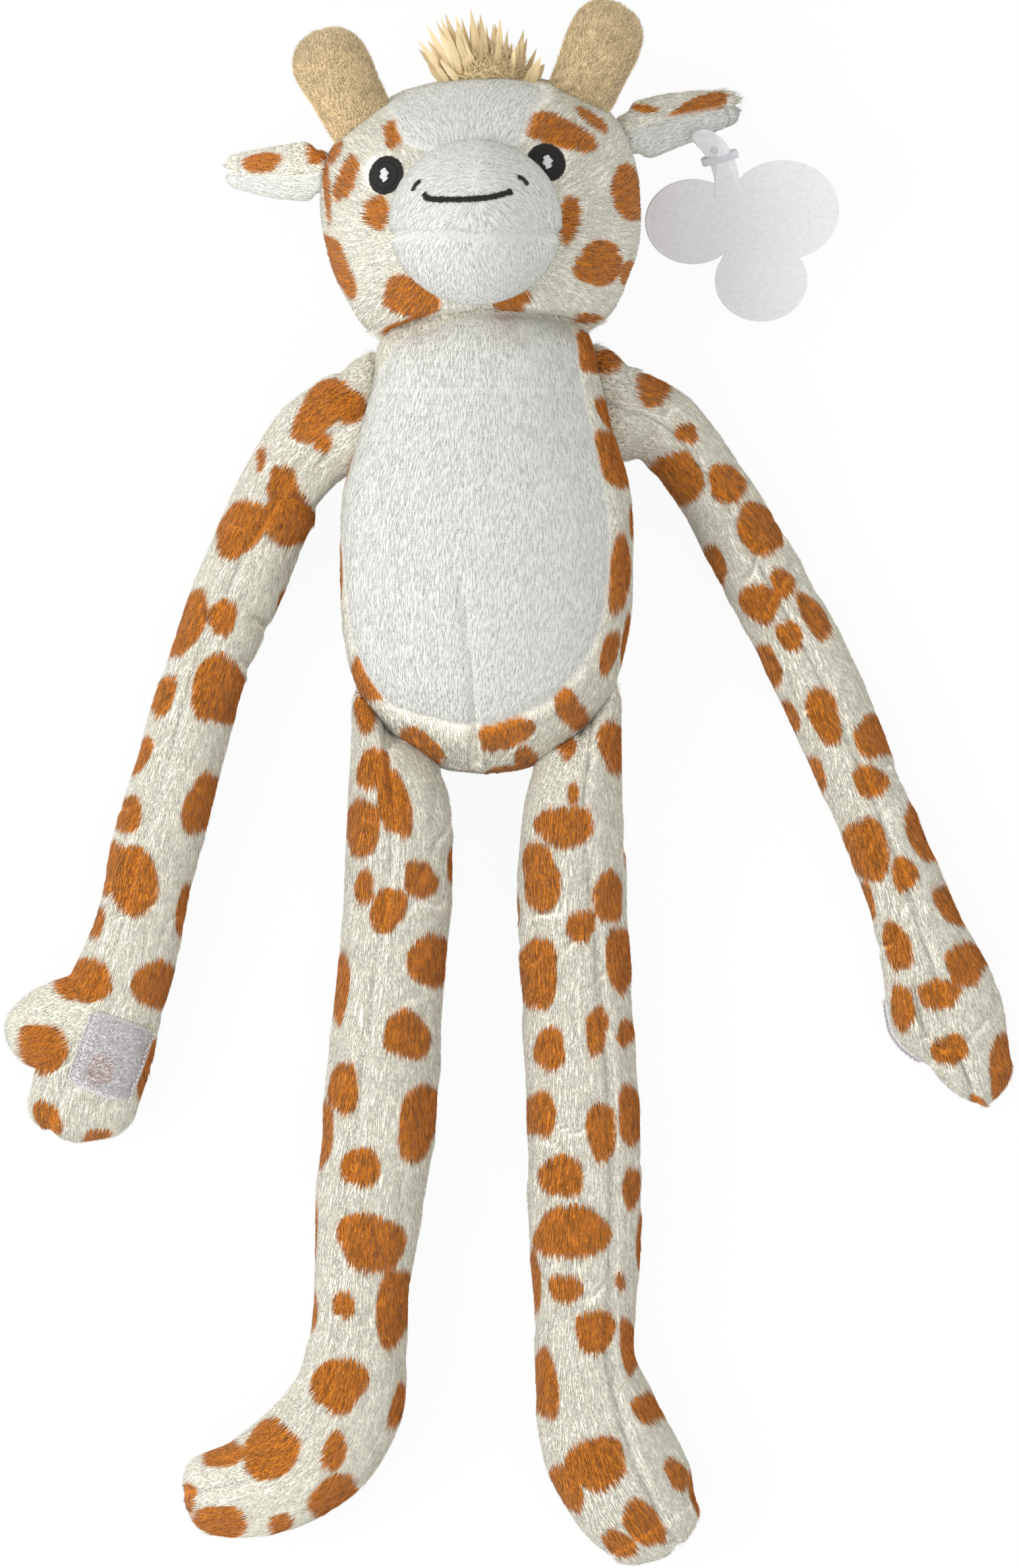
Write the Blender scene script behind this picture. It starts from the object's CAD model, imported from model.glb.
"""A plush giraffe in short printed pile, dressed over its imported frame. Metres, +Z up, lying on its back."""

import math

import bmesh
import bpy
import numpy as np
from mathutils import Matrix, Vector
from mathutils.bvhtree import BVHTree


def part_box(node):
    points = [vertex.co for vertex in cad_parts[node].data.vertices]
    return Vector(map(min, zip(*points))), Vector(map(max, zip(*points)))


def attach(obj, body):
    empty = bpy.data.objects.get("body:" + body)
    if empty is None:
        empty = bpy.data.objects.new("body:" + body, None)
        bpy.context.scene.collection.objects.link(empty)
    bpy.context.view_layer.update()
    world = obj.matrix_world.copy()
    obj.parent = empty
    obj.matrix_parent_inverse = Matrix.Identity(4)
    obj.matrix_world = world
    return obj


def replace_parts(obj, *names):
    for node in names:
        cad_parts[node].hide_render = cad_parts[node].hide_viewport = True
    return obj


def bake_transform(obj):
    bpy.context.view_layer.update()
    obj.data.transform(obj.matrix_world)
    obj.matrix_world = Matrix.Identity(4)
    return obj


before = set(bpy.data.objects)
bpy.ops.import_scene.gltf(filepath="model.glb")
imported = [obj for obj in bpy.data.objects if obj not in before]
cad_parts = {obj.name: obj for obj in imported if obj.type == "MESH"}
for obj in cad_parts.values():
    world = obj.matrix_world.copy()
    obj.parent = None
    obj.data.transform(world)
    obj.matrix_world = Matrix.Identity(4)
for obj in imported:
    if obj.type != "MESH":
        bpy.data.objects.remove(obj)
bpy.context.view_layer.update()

MM = 0.001

# Sizes shared with the frame
TORSO_LENGTH = 0.151
TORSO_WIDTH = 0.089
TORSO_DEPTH = 0.072
TORSO_LOW = 0.0672
NECK = np.array([0.001, 0.0508, 0.0320])
NECK_RADIUS = 0.0325
HEAD = np.array([-0.001, 0.1006, 0.0410])
HEAD_WIDTH = 0.0955
HEAD_HEIGHT = 0.0875
HEAD_DEPTH = 0.083
HEAD_LEAN = math.radians(-5.7)
MUZZLE = np.array([-0.003, 0.0995, 0.0770])
MUZZLE_HALF = np.array([0.02625, 0.025, 0.031])
MUZZLE_SEAM_DROP = 0.004
FLAT_DEPTH = 0.0005
LIMB_SETTLE = 0.22
ARM_SIZES = (0.027, 0.026, 0.029)
LEG_SIZES = (0.034, 0.032, 0.029)
HIP_RISE = 1.87
HIP_TAPER = 0.030
HIPS = {"right_leg": (-0.0282, -0.0690, 0.0215), "left_leg": (0.0286, -0.0680, 0.0215)}
EAR_SIZES = (0.0178, 0.0085, 0.0125)
EAR_Z = 0.034
EAR_SETTLE = 1.6
HORN_LENGTH = 0.0415
HORN_BASE = 0.0095
HORN_HALF = 0.0110
HORN_ROOT = 0.010
HORN_Z = 0.044
HAIR = np.array([0.0022, 0.1420, 0.0430])
HAIR_HALF = np.array([0.0135, 0.0115, 0.0095])
LOCK_TIPS = [
    (-20.8, 155.4), (-20.4, 152.6), (-18.1, 160.2), (-15.2, 161.6), (-13.7, 162.2), (-12.4, 163.6), (-9.2, 163.0),
    (-7.4, 162.2), (-4.6, 164.8), (-1.7, 163.2), (2.3, 160.4), (4.3, 161.8), (6.6, 158.4), (11.6, 158.6), (12.6, 156.2),
    (15.5, 153.0), (16.8, 150.2), (17.7, 148.2),
]
EYE_PLACES = {"right": (-0.0302, 0.1138), "left": (0.0184, 0.1176)}
EYE_HALF = (0.0061, 0.0056)
GLINT_HALF = (0.0018, 0.0020)
MOUTH_LINE = [(-18.3, 107.6), (-16.9, 106.1), (-10.6, 105.8), (-5.0, 105.9), (1.4, 106.5), (7.6, 108.2)]
NOSTRIL_LINES = {
    "right": [(-21.7, 108.7), (-21.2, 110.2), (-19.6, 111.5)],
    "left": [(9.7, 112.6), (11.2, 112.2), (12.4, 110.4)],
}
TAG_SIZE = 0.0165
TAG_HINGE = np.array([0.0655, 0.1270, 0.0308])
TAG_LEAN = math.radians(28.3)
TAG_MIDDLE = np.array([0.0112, -0.0335])
TAG_DISCS = [(-0.84, 0.22, 0.88), (0.82, 0.46, 1.03), (0.42, -1.00, 0.85)]
CARD_THICKNESS = 0.0006
STRAP_HALF = 0.0038
STRAP_RISE = 0.0012
CLIP_PLACE = (0.0055, -0.0080)
CLIP_HALF = 0.0013
STUD_PLACE = (0.0040, -0.0048)
THREAD_WIDTH = 0.00042
PATCH_CORNER = 0.13
TAPE = (0.69, 0.665, 0.67)
TAPE_SHADE = (0.56, 0.53, 0.53)
CARD = (0.80, 0.805, 0.825)

# Pile
PILE_LENGTH = 0.0029
PILE_WIDTH = 0.00052
PILE_PER_SQUARE_MM = 1.8
STRANDS_PER_PIECE = 45000
VELVET = {"length": 0.0018, "width": 0.00027, "lie": 14.0, "stray": 0.3, "swirl": 2.0, "strands_per_m2": 1.6e6, "flecked": 0.12}
SKIN_STEP = 0.0014

CREAM = (0.875, 0.850, 0.735)
CARAMEL = (0.565, 0.190, 0.020)
WHITE = (0.705, 0.710, 0.668)
TAN = (0.94, 0.745, 0.445)
STRAW = (0.95, 0.78, 0.48)

SEAM_HALF = 1.5
SEAM_DEPTH = 1.5
SPOT_POWER = 2.3
SPOT_SOFTNESS = 0.35
SPOT_RAGGED = 0.7 * MM
GROUND_FLECK = 0.60
DROOP = np.array([0.0, 0.0, -0.15])
SPOT_FLECK = 1.8
TIP_SHARE = 0.62
STRAND_FOOTPRINT = 0.0008
CAMERA_HEIGHT = 12.0
FRAME_HEIGHT = 0.476

HEAD_SPOTS = [
    (-27.4, 126.4, 6, 9.6, -0), (-41.8, 112.8, 5.6, 15.6, -20), (-32.4, 102.4, 7.6, 10.8, -8),
    (-44, 86.8, 6, 21, 22), (-22.4, 77.2, 18, 11.6, -12), (-23.6, 67.6, 14.4, 5.6, 8),
    (7.6, 75.8, 12, 6, 12), (33.8, 87.2, 13, 15, -30), (42.6, 108.4, 8.8, 18.8, 10),
    (24.8, 100.2, 6, 15, -12), (21.6, 126.6, 25, 8.8, -17), (31.9, 130.6, 13, 3.4, -38),
    (42.4, 84.8, 3.6, 7.4, -15), (30, 71, 9, 2.8, 0), (-45.4, 120.8, 3.2, 8.8, -25),
    (-47.8, 110.0, 2.2, 22, 4),
]
RIGHT_EAR_SPOTS = [
    (-67.6, 118.4, 12, 6.4, 4), (-50.0, 121.8, 8.6, 7.6, 20),
]
LEFT_EAR_SPOTS = [
    (63.8, 133, 19.4, 10, 24), (47.8, 134.4, 7.6, 3, -8),
]
RIGHT_ARM_SPOTS = [
    (-49.4, 43.6, 12, 23, -35), (-40, 44, 7.2, 11.6, -20), (-49.4, 33.6, 5.8, 6.6, -0),
    (-67.8, 28.8, 3, 7.6, -10), (-61.4, 20.8, 10, 11, -10), (-59.4, 10.8, 16.8, 16, 30),
    (-73.8, 7.8, 13.6, 19, -25), (-90.8, -21.2, 10, 23.6, -25), (-79.6, -19.2, 8, 12, -20),
    (-61.2, -14.4, 3.6, 8.8, -20), (-80.8, -41.4, 17.6, 20, -15), (-97.4, -43, 6.8, 12.4, -20),
    (-104.8, -60.8, 6.4, 12, -20), (-85.6, -75.6, 11.2, 19.6, -15), (-108.4, -79, 8.2, 12.4, -10),
    (-113, -95.2, 8, 17.6, -12), (-106, -99.6, 13.6, 20.8, -10), (-117.8, -111.8, 4.8, 9.2, -15),
    (-90.8, -107, 6.4, 15.4, -12), (-121.4, -129.6, 16, 14.4, -20), (-100.4, -130.4, 12.4, 15.6, -15),
    (-134, -150, 14, 15.6, -0), (-133, -171.4, 7.6, 12, 20), (-117.4, -177.4, 9.6, 5.4, 0),
    (-102.6, -156.2, 5.2, 17.4, -12), (-117, -157, 8.4, 10, -0),
]
LEFT_ARM_SPOTS = [
    (36.8, 58.4, 8, 8, -0), (50, 49.8, 9.4, 12, 20), (60.6, 36.4, 6.4, 6.6, -0),
    (57.4, 23.2, 15.6, 16.8, 35), (72.8, 21.2, 11.2, 12, 10), (82.6, 7.2, 12.8, 16.4, 30),
    (68, -4.4, 10, 14, 20), (89.8, -8.8, 6.4, 10, 30), (83, -15, 12, 11.6, -30),
    (92, -24.8, 7.4, 10, 20), (99.2, -19, 7, 15.8, 28), (84.4, -34.4, 10.4, 13, 20),
    (102.4, -49, 9.6, 17.6, 25), (91.2, -50, 7.2, 12.4, 20), (118, -55.4, 12, 14.4, 30),
    (99.4, -66.4, 6.2, 12.4, 20), (116.4, -69, 10.4, 10.4, 20), (132.8, -84.2, 11.2, 19.2, 20),
    (115.4, -89.4, 14, 18.4, 25), (126.8, -97.2, 8, 10.8, 20), (115.4, -105.4, 4.6, 13.2, 12),
    (142, -106, 10.4, 15.4, 28), (124.8, -119, 8.2, 15.2, 12), (145.4, -124.2, 13.2, 12.4, -35),
    (137.4, -133.6, 13.6, 8.8, 0), (126.4, -137.6, 7.2, 14, 12), (140.6, -150.4, 10.8, 9.6, 0),
    (157, -155.2, 8.4, 22.4, -8), (148.6, -167, 5.6, 5.2, 0),
]
TORSO_SPOTS = [
    (-40.4, 34.8, 4, 26, -8), (-44.6, -6.2, 2.4, 20, -0), (-36.2, -38.6, 6.8, 15.6, 28),
    (-19.8, -59, 15.2, 9.6, -35), (6, -54.6, 18.4, 8.8, 20), (25.8, -47.2, 8.8, 13.2, 38),
    (37.4, -29.8, 5.2, 13.6, -12), (40.4, -6.2, 6, 25.6, -3), (38, 28.4, 8.8, 20.4, 22),
    (37, 42.8, 6, 12, 22), (31.6, 61.2, 10, 13.2, 8), (38, 58.4, 6, 6.8, 40), (44.2, 10.8, 2, 10.6, -0),
    (42.8, -26, 3.2, 17, -5), (5, -66.2, 9.6, 3.6, 5), (12.6, -62.8, 8.2, 8.4, -30),
]
RIGHT_LEG_SPOTS = [
    (-36.6, -48.2, 6, 12.4, 10), (-34, -65.2, 9.6, 13.4, -5), (-27.6, -76, 9.2, 21.6, 10),
    (-37.2, -82.8, 10.4, 18, -8), (-19.8, -98.8, 10.8, 11.2, -0), (-36.8, -101, 6.2, 10.4, -0),
    (-29.6, -108, 10.8, 14, -10), (-10, -93.8, 3.6, 11.2, -0), (-17.2, -123.2, 12, 17.6, -12),
    (-44, -130.8, 5.4, 23, -4), (-24, -146, 15.2, 13.6, -20), (-43, -162.2, 9.6, 15.2, -0),
    (-20.4, -172.2, 12.4, 23.2, -8), (-48.6, -175.8, 4.8, 20.6, -3), (-37.8, -186, 11.6, 12.4, -0),
    (-34.8, -208.8, 20, 18.4, -10), (-51.8, -206.6, 1.8, 20, -4), (-43, -227.8, 7.6, 7.6, -0),
    (-28, -228.4, 11.2, 23.2, -6), (-52, -229.4, 2.4, 12.2, -0), (-44.2, -252, 14.8, 18.4, -35),
    (-64.8, -272.2, 15.2, 19.6, -40), (-45.6, -272.2, 7.4, 12.4, -20), (-79, -272.8, 12.8, 8.8, 25),
    (-45.4, -286.8, 16.8, 13.2, 40), (-61.6, -294.4, 7.8, 6, 20), (-79.6, -294, 15.6, 10.4, -12),
    (-89.8, -286.8, 4.4, 10.4, -0), (-27, -258.6, 4, 15.2, -15),
]
LEFT_LEG_SPOTS = [
    (38.4, -58.4, 8.4, 16, 15), (24.4, -57.2, 5.2, 10.8, 20), (26.6, -72.8, 3.2, 7.6, -0),
    (24, -82.6, 17.6, 12.8, 10), (16.8, -98.2, 11.6, 20.8, 4), (37, -104, 9.6, 15.2, -0),
    (28.8, -113, 9.2, 9.6, -0), (42.6, -84, 1.8, 20, -0), (15.6, -127.2, 12, 23.6, -4),
    (40.6, -122.8, 8.8, 20.4, -3), (9.6, -107.6, 1.8, 9.4, -0), (19.4, -150.2, 10, 12.8, -0),
    (33.6, -144.6, 6.8, 14.8, -0), (42.2, -145.2, 5.2, 8.6, -0), (16.4, -169.8, 9.6, 14.8, -0),
    (35, -175.2, 8.8, 18.8, -0), (43.6, -170.2, 7.6, 18.4, -0), (23, -188.8, 14.8, 12, 0),
    (44, -192.2, 5.8, 12, -0), (26.2, -205.8, 22.4, 16.8, -10), (46.8, -208.8, 2.4, 18.8, -0),
    (24.2, -222.8, 10, 9.2, 0), (14.8, -220.8, 4, 19.2, -0), (40.8, -220.8, 3.2, 5.2, -0),
    (33.2, -235.8, 12.8, 12.8, -0), (43.2, -240.2, 5.6, 17, 8), (18, -252, 8, 22.8, 8),
    (33.4, -275.8, 16.8, 17.6, 25), (49.4, -259, 10, 10, 40), (47.6, -294.2, 11.2, 15.2, 30),
    (24.6, -283, 8.4, 14.8, 28), (57.6, -279.2, 6.4, 10.2, 35), (64.2, -284.6, 5.2, 18, 14),
    (40.2, -300.4, 10.8, 7.6, -30),
]
TORSO_SHARES = [
    (0.000, 0.00, 0.00, 0.310),
    (0.012, 0.28, 0.28, 0.140),
    (0.045, 0.50, 0.48, 0.085),
    (0.110, 0.73, 0.67, 0.035),
    (0.185, 0.88, 0.83, 0.010),
    (0.300, 0.975, 0.95, 0.0),
    (0.420, 1.00, 1.00, 0.0),
    (0.560, 0.98, 1.00, 0.0),
    (0.690, 0.86, 0.96, 0.0),
    (0.790, 0.775, 0.92, 0.0),
    (0.870, 0.71, 0.86, 0.0),
    (0.935, 0.58, 0.72, 0.06),
    (0.975, 0.38, 0.46, 0.18),
]
RIGHT_ARM_SHARES = [
    (0.045, -0.030, 1.02, 1.00, 0.10),
    (0.125, -0.048, 0.96, 1.00, 0.05),
    (0.240, -0.055, 0.96, 1.00, -0.20),
    (0.370, -0.058, 0.90, 0.96, -0.25),
    (0.480, -0.050, 0.93, 1.00, -0.30),
    (0.600, -0.040, 0.97, 1.00, -0.35),
    (0.720, -0.024, 0.96, 0.96, -0.40),
    (0.800, -0.014, 1.20, 0.88, -0.45),
    (0.880, -0.010, 1.33, 0.82, -0.45),
    (0.950, 0.000, 1.10, 0.74, -0.40),
]
LEFT_ARM_SHARES = [
    (0.045, 0.038, 0.88, 1.00, 0.10),
    (0.140, 0.056, 0.82, 0.98, 0.10),
    (0.250, 0.060, 0.88, 1.00, 0.10),
    (0.400, 0.062, 0.92, 1.00, 0.15),
    (0.540, 0.054, 0.88, 0.96, 0.15),
    (0.680, 0.042, 0.87, 0.94, 0.10),
    (0.760, 0.032, 0.95, 0.96, 0.05),
    (0.830, 0.022, 1.18, 0.98, 0.00),
    (0.890, 0.010, 1.26, 0.92, -0.05),
    (0.950, 0.004, 1.00, 0.78, -0.10),
]
RIGHT_LEG_SHARES = [
    (0.060, 0.012, 0.95, 1.00, -0.10),
    (0.180, 0.017, 0.95, 1.00, -0.20),
    (0.320, 0.012, 0.945, 0.97, -0.30),
    (0.520, 0.007, 1.00, 1.00, -0.40),
    (0.680, -0.003, 0.93, 0.96, -0.45),
    (0.790, -0.008, 0.83, 0.90, -0.50),
    (0.880, -0.008, 0.86, 0.92, -0.45),
    (0.970, -0.022, 1.01, 1.00, -0.35),
    (1.050, -0.075, 1.05, 1.02, -0.25),
    (1.100, -0.150, 0.92, 0.94, -0.20),
    (1.120, -0.225, 0.72, 0.80, -0.15),
]
LEFT_LEG_SHARES = [
    (0.060, -0.008, 0.92, 1.00, 0.20),
    (0.180, -0.012, 0.97, 1.00, 0.35),
    (0.340, -0.004, 0.97, 0.98, 0.45),
    (0.540, 0.006, 1.00, 1.00, 0.50),
    (0.690, 0.007, 0.98, 0.97, 0.50),
    (0.800, 0.007, 0.89, 0.92, 0.50),
    (0.870, 0.008, 0.90, 0.94, 0.45),
    (0.940, 0.022, 1.05, 1.00, 0.40),
    (1.010, 0.048, 1.15, 1.04, 0.30),
    (1.070, 0.080, 1.10, 1.00, 0.25),
    (1.115, 0.108, 0.90, 0.84, 0.20),
]
EAR_SHARES = [
    (0.10, 0.00, 0.98, 0.98, 0.12),
    (0.35, 0.01, 0.92, 1.00, 0.12),
    (0.62, 0.00, 0.77, 0.92, 0.10),
    (0.84, -0.01, 0.60, 0.76, 0.06),
]
HEAD_SHARES = [
    (0.000, 0.00, 0.00),
    (0.012, 0.24, 0.26),
    (0.045, 0.46, 0.48),
    (0.134, 0.74, 0.73),
    (0.268, 0.895, 0.89),
    (0.400, 0.98, 0.98),
    (0.580, 1.005, 1.00),
    (0.714, 0.97, 0.96),
    (0.804, 0.90, 0.87),
    (0.880, 0.76, 0.73),
    (0.950, 0.52, 0.50),
    (0.985, 0.30, 0.29),
    (1.000, 0.00, 0.00),
]
BELLY_EDGE = [
    (-27.6, 63.2), (-15.4, 68.6), (1.0, 72.8), (25.4, 69.4), (29.2, 54.4), (32.0, 41.8), (37.0, 18.6),
    (38.4, 3.0), (37.0, -16.2), (32.0, -30.8), (20.4, -44.4), (8.8, -50.2), (-3.8, -53.2), (-23.2, -49.2),
    (-31.8, -44.4), (-39.6, -30.8), (-43.0, -16.2), (-44.4, 12.8), (-41.6, 27.4), (-36.8, 48.6),
]
BLAZE_EDGE = [
    (-30.0, 138.4), (-5.8, 146.5), (16.6, 141.4), (14.0, 132.0), (8.2, 122.0), (-8.0, 119.0), (-23.6, 123.2),
    (-28.0, 132.0),
]
RIGHT_ARM_CREASES = [
    ([(-43.0, 20.0), (-51.8, 12.9), (-58.4, 16.4)], 2.2, 1.8),
    ([(-58.0, -24.0), (-65.4, -22.9), (-69.2, -20.4)], 1.6, 1.6),
    ([(-66.0, -37.0), (-70.4, -35.6), (-73.5, -33.0)], 1.4, 1.6),
    ([(-59.5, 34.0), (-58.5, 29.0)], 1.3, 5.0),
    ([(-44.0, 36.0), (-50.0, 25.0)], 1.4, 2.2),
]
LEFT_ARM_CREASES = [
    ([(45.0, 30.0), (52.0, 36.0), (55.0, 43.0)], 1.6, 2.4),
    ([(129.4, -132.0), (131.5, -141.0), (133.6, -148.5), (138.4, -152.6)], 2.2, 1.3),
    ([(143.6, -155.8), (151.6, -167.8)], 1.2, 1.3),
]
CHIN_LINE = [(-46.0, 58.0), (-33.8, 66.6), (-19.4, 72.0), (-2.0, 74.8), (22.6, 72.6), (35.6, 69.2), (46.0, 62.0)]
DART = [(-7.6, -8.6), (-5.6, -24.0), (-4.2, -38.0), (-3.4, -53.2), (-2.6, -68.0)]


def smooth(rows, count):
    """Rows of numbers on a smooth curve through the given rows."""
    rows = np.array(rows, float)
    last = len(rows) - 1
    place = np.linspace(0, last, count)
    index = np.minimum(place.astype(int), last - 1)
    t = (place - index)[:, None]
    a, b, c, d = (rows[np.clip(index + k, 0, last)] for k in (-1, 0, 1, 2))
    return b + ((c - a) * t + (2 * a - 5 * b + 4 * c - d) * t**2 + (3 * b - a - 3 * c + d) * t**3) / 2


def evenly(rows, columns, step):
    """The rows, read again a step apart along the curve of the named columns."""
    dense = smooth(rows, 40 * len(rows))
    apart = np.linalg.norm(np.diff(dense[:, columns], axis=0), axis=1)
    run = np.concatenate([[0], np.cumsum(apart)])
    places = np.linspace(0, run[-1], max(int(run[-1] / step), 8))
    return np.stack([np.interp(places, run, column) for column in dense.T], axis=1)


def ripple(points, size, seed):
    """A smooth random height from -1 to 1 at each point."""
    picks = np.random.default_rng(seed)
    total = np.zeros(len(points))
    for _ in range(6):
        way = picks.normal(size=3)
        way *= picks.uniform(0.6, 1.6) / (size * np.linalg.norm(way))
        total += np.sin(2 * math.pi * (points @ way) + picks.uniform(0, 2 * math.pi))
    return total / 6


def printed(points, spots, softness):
    """How deep each point lies in a printed spot, from 0 to 1, with an edge as soft as asked, in millimetres."""
    x, y = points[:, 0] / MM, points[:, 1] / MM
    cover = np.zeros(len(points))
    for index, (middle_x, middle_y, wide, high, turn) in enumerate(spots):
        angle = math.radians(turn)
        u = (x - middle_x) * math.cos(angle) + (y - middle_y) * math.sin(angle)
        v = (y - middle_y) * math.cos(angle) - (x - middle_x) * math.sin(angle)
        u, v = 2 * u / wide, 2 * v / high
        around = np.arctan2(v, u)
        edge = 1 + 0.07 * np.sin(2 * around + index) + 0.06 * np.sin(3 * around + 2.1 * index)
        edge += 0.03 * np.sin(5 * around + 3.7 * index)
        reach = (np.abs(u) ** SPOT_POWER + np.abs(v) ** SPOT_POWER) ** (1 / SPOT_POWER)
        inside = (edge - reach) * min(wide, high) / (2 * softness)
        cover = np.maximum(cover, np.clip(0.5 + inside, 0, 1))
    return cover


def within(points, outline):
    """How deep each point lies inside an outline, in millimetres: negative outside."""
    edge = smooth([outline[-1], *outline, outline[0], outline[1]], 12 * (len(outline) + 3))
    edge = edge[12:-24]
    x, y = points[:, 0] / MM, points[:, 1] / MM
    inside = np.zeros(len(points), bool)
    nearest = np.full(len(points), 1e9)
    for (ax, ay), (bx, by) in zip(edge, np.roll(edge, -1, axis=0)):
        crosses = ((ay > y) != (by > y)) & (x < (bx - ax) * (y - ay) / (by - ay + 1e-12) + ax)
        inside ^= crosses
        nearest = np.minimum(nearest, apart_from(x, y, ax, ay, bx, by))
    return np.where(inside, nearest, -nearest)


def apart_from(x, y, ax, ay, bx, by):
    """The distance of each (x, y) from one straight piece of a line."""
    length = (bx - ax) ** 2 + (by - ay) ** 2 + 1e-12
    share = np.clip(((x - ax) * (bx - ax) + (y - ay) * (by - ay)) / length, 0, 1)
    return np.hypot(x - ax - share * (bx - ax), y - ay - share * (by - ay))


def near_line(points, line):
    """The distance of each point from a sewn line seen from above, in millimetres."""
    x, y = points[:, 0] / MM, points[:, 1] / MM
    rows = [apart_from(x, y, *a, *b) for a, b in zip(line, line[1:])]
    return np.min(rows, axis=0)


def mixed(low, high, share):
    return np.array(low) * (1 - share[:, None]) + np.array(high) * share[:, None]


def closed_grid(name, rings):
    """A closed skin over a grid of rings whose first and last rings are points."""
    count, sides = rings.shape[:2]
    points = np.concatenate([rings[0, :1], rings[1:-1].reshape(-1, 3), rings[-1, :1]])
    faces, places = [], []
    for ring in range(count - 3):
        for side in range(sides):
            after = (side + 1) % sides
            low, high = 1 + ring * sides, 1 + (ring + 1) * sides
            faces.append((low + side, low + after, high + after, high + side))
            u, v = (ring + 1) / count, (ring + 2) / count
            places += [(u, side / sides), (u, (side + 1) / sides), (v, (side + 1) / sides), (v, side / sides)]
    last = len(points) - 1
    start = 1 + (count - 3) * sides
    for side in range(sides):
        after = (side + 1) % sides
        middle = (side + 0.5) / sides
        faces.append((0, 1 + after, 1 + side))
        places += [(0, middle), (1 / count, (side + 1) / sides), (1 / count, side / sides)]
        faces.append((last, start + side, start + after))
        u = (count - 2) / count
        places += [(1 - 1 / count, middle), (u, side / sides), (u, (side + 1) / sides)]
    mesh = bpy.data.meshes.new(name)
    mesh.from_pydata(points, [], faces)
    layer = mesh.uv_layers.new(name="skin_uv")
    layer.uv.foreach_set("vector", np.array(places, np.float32).ravel())
    mesh.update()
    corners = np.array([p.vertices[:3] for p in mesh.polygons])
    if np.linalg.det(points[corners]).sum() < 0:
        mesh.flip_normals()
    return mesh


def points_of(mesh):
    points = np.empty(len(mesh.vertices) * 3, np.float32)
    mesh.vertices.foreach_get("co", points)
    return points.reshape(-1, 3).astype(float)


def normals_of(mesh):
    normals = np.empty(len(mesh.vertices) * 3, np.float32)
    mesh.vertex_normals.foreach_get("vector", normals)
    return normals.reshape(-1, 3).astype(float)


def moved(mesh, points):
    mesh.vertices.foreach_set("co", points.astype(np.float32).ravel())
    mesh.update()


def coloured(mesh, name, rows, alpha):
    """Writes a colour for each point, made new or in place of the one it had."""
    layer = mesh.attributes.get(name) or mesh.attributes.new(name, "FLOAT_COLOR", "POINT")
    values = np.concatenate([rows, alpha[:, None]], axis=1)
    layer.data.foreach_set("color", values.astype(np.float32).ravel())


def painted(mesh, ground, lay, pile, spots=(), taken=None):
    """Keeps each point's colour before and after printing, the way its pile lies and its share of the pile."""
    taken = np.ones(len(ground)) if taken is None else taken
    cover = printed(points_of(mesh), spots, SKIN_STEP / MM / 2) * taken
    coloured(mesh, "tint", mixed(ground, CARAMEL, cover), np.ones(len(ground)))
    coloured(mesh, "ground", ground, taken)
    normals = normals_of(mesh)
    lay = lay + DROOP
    lay = unit(lay - normals * np.sum(lay * normals, axis=1, keepdims=True))
    mesh.attributes.new("lay", "FLOAT_VECTOR", "POINT").data.foreach_set("vector", lay.astype(np.float32).ravel())
    mesh.attributes.new("pile", "FLOAT", "POINT").data.foreach_set("value", pile.astype(np.float32))


def unit(rows):
    return rows / np.maximum(np.linalg.norm(rows, axis=-1, keepdims=True), 1e-9)


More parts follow.
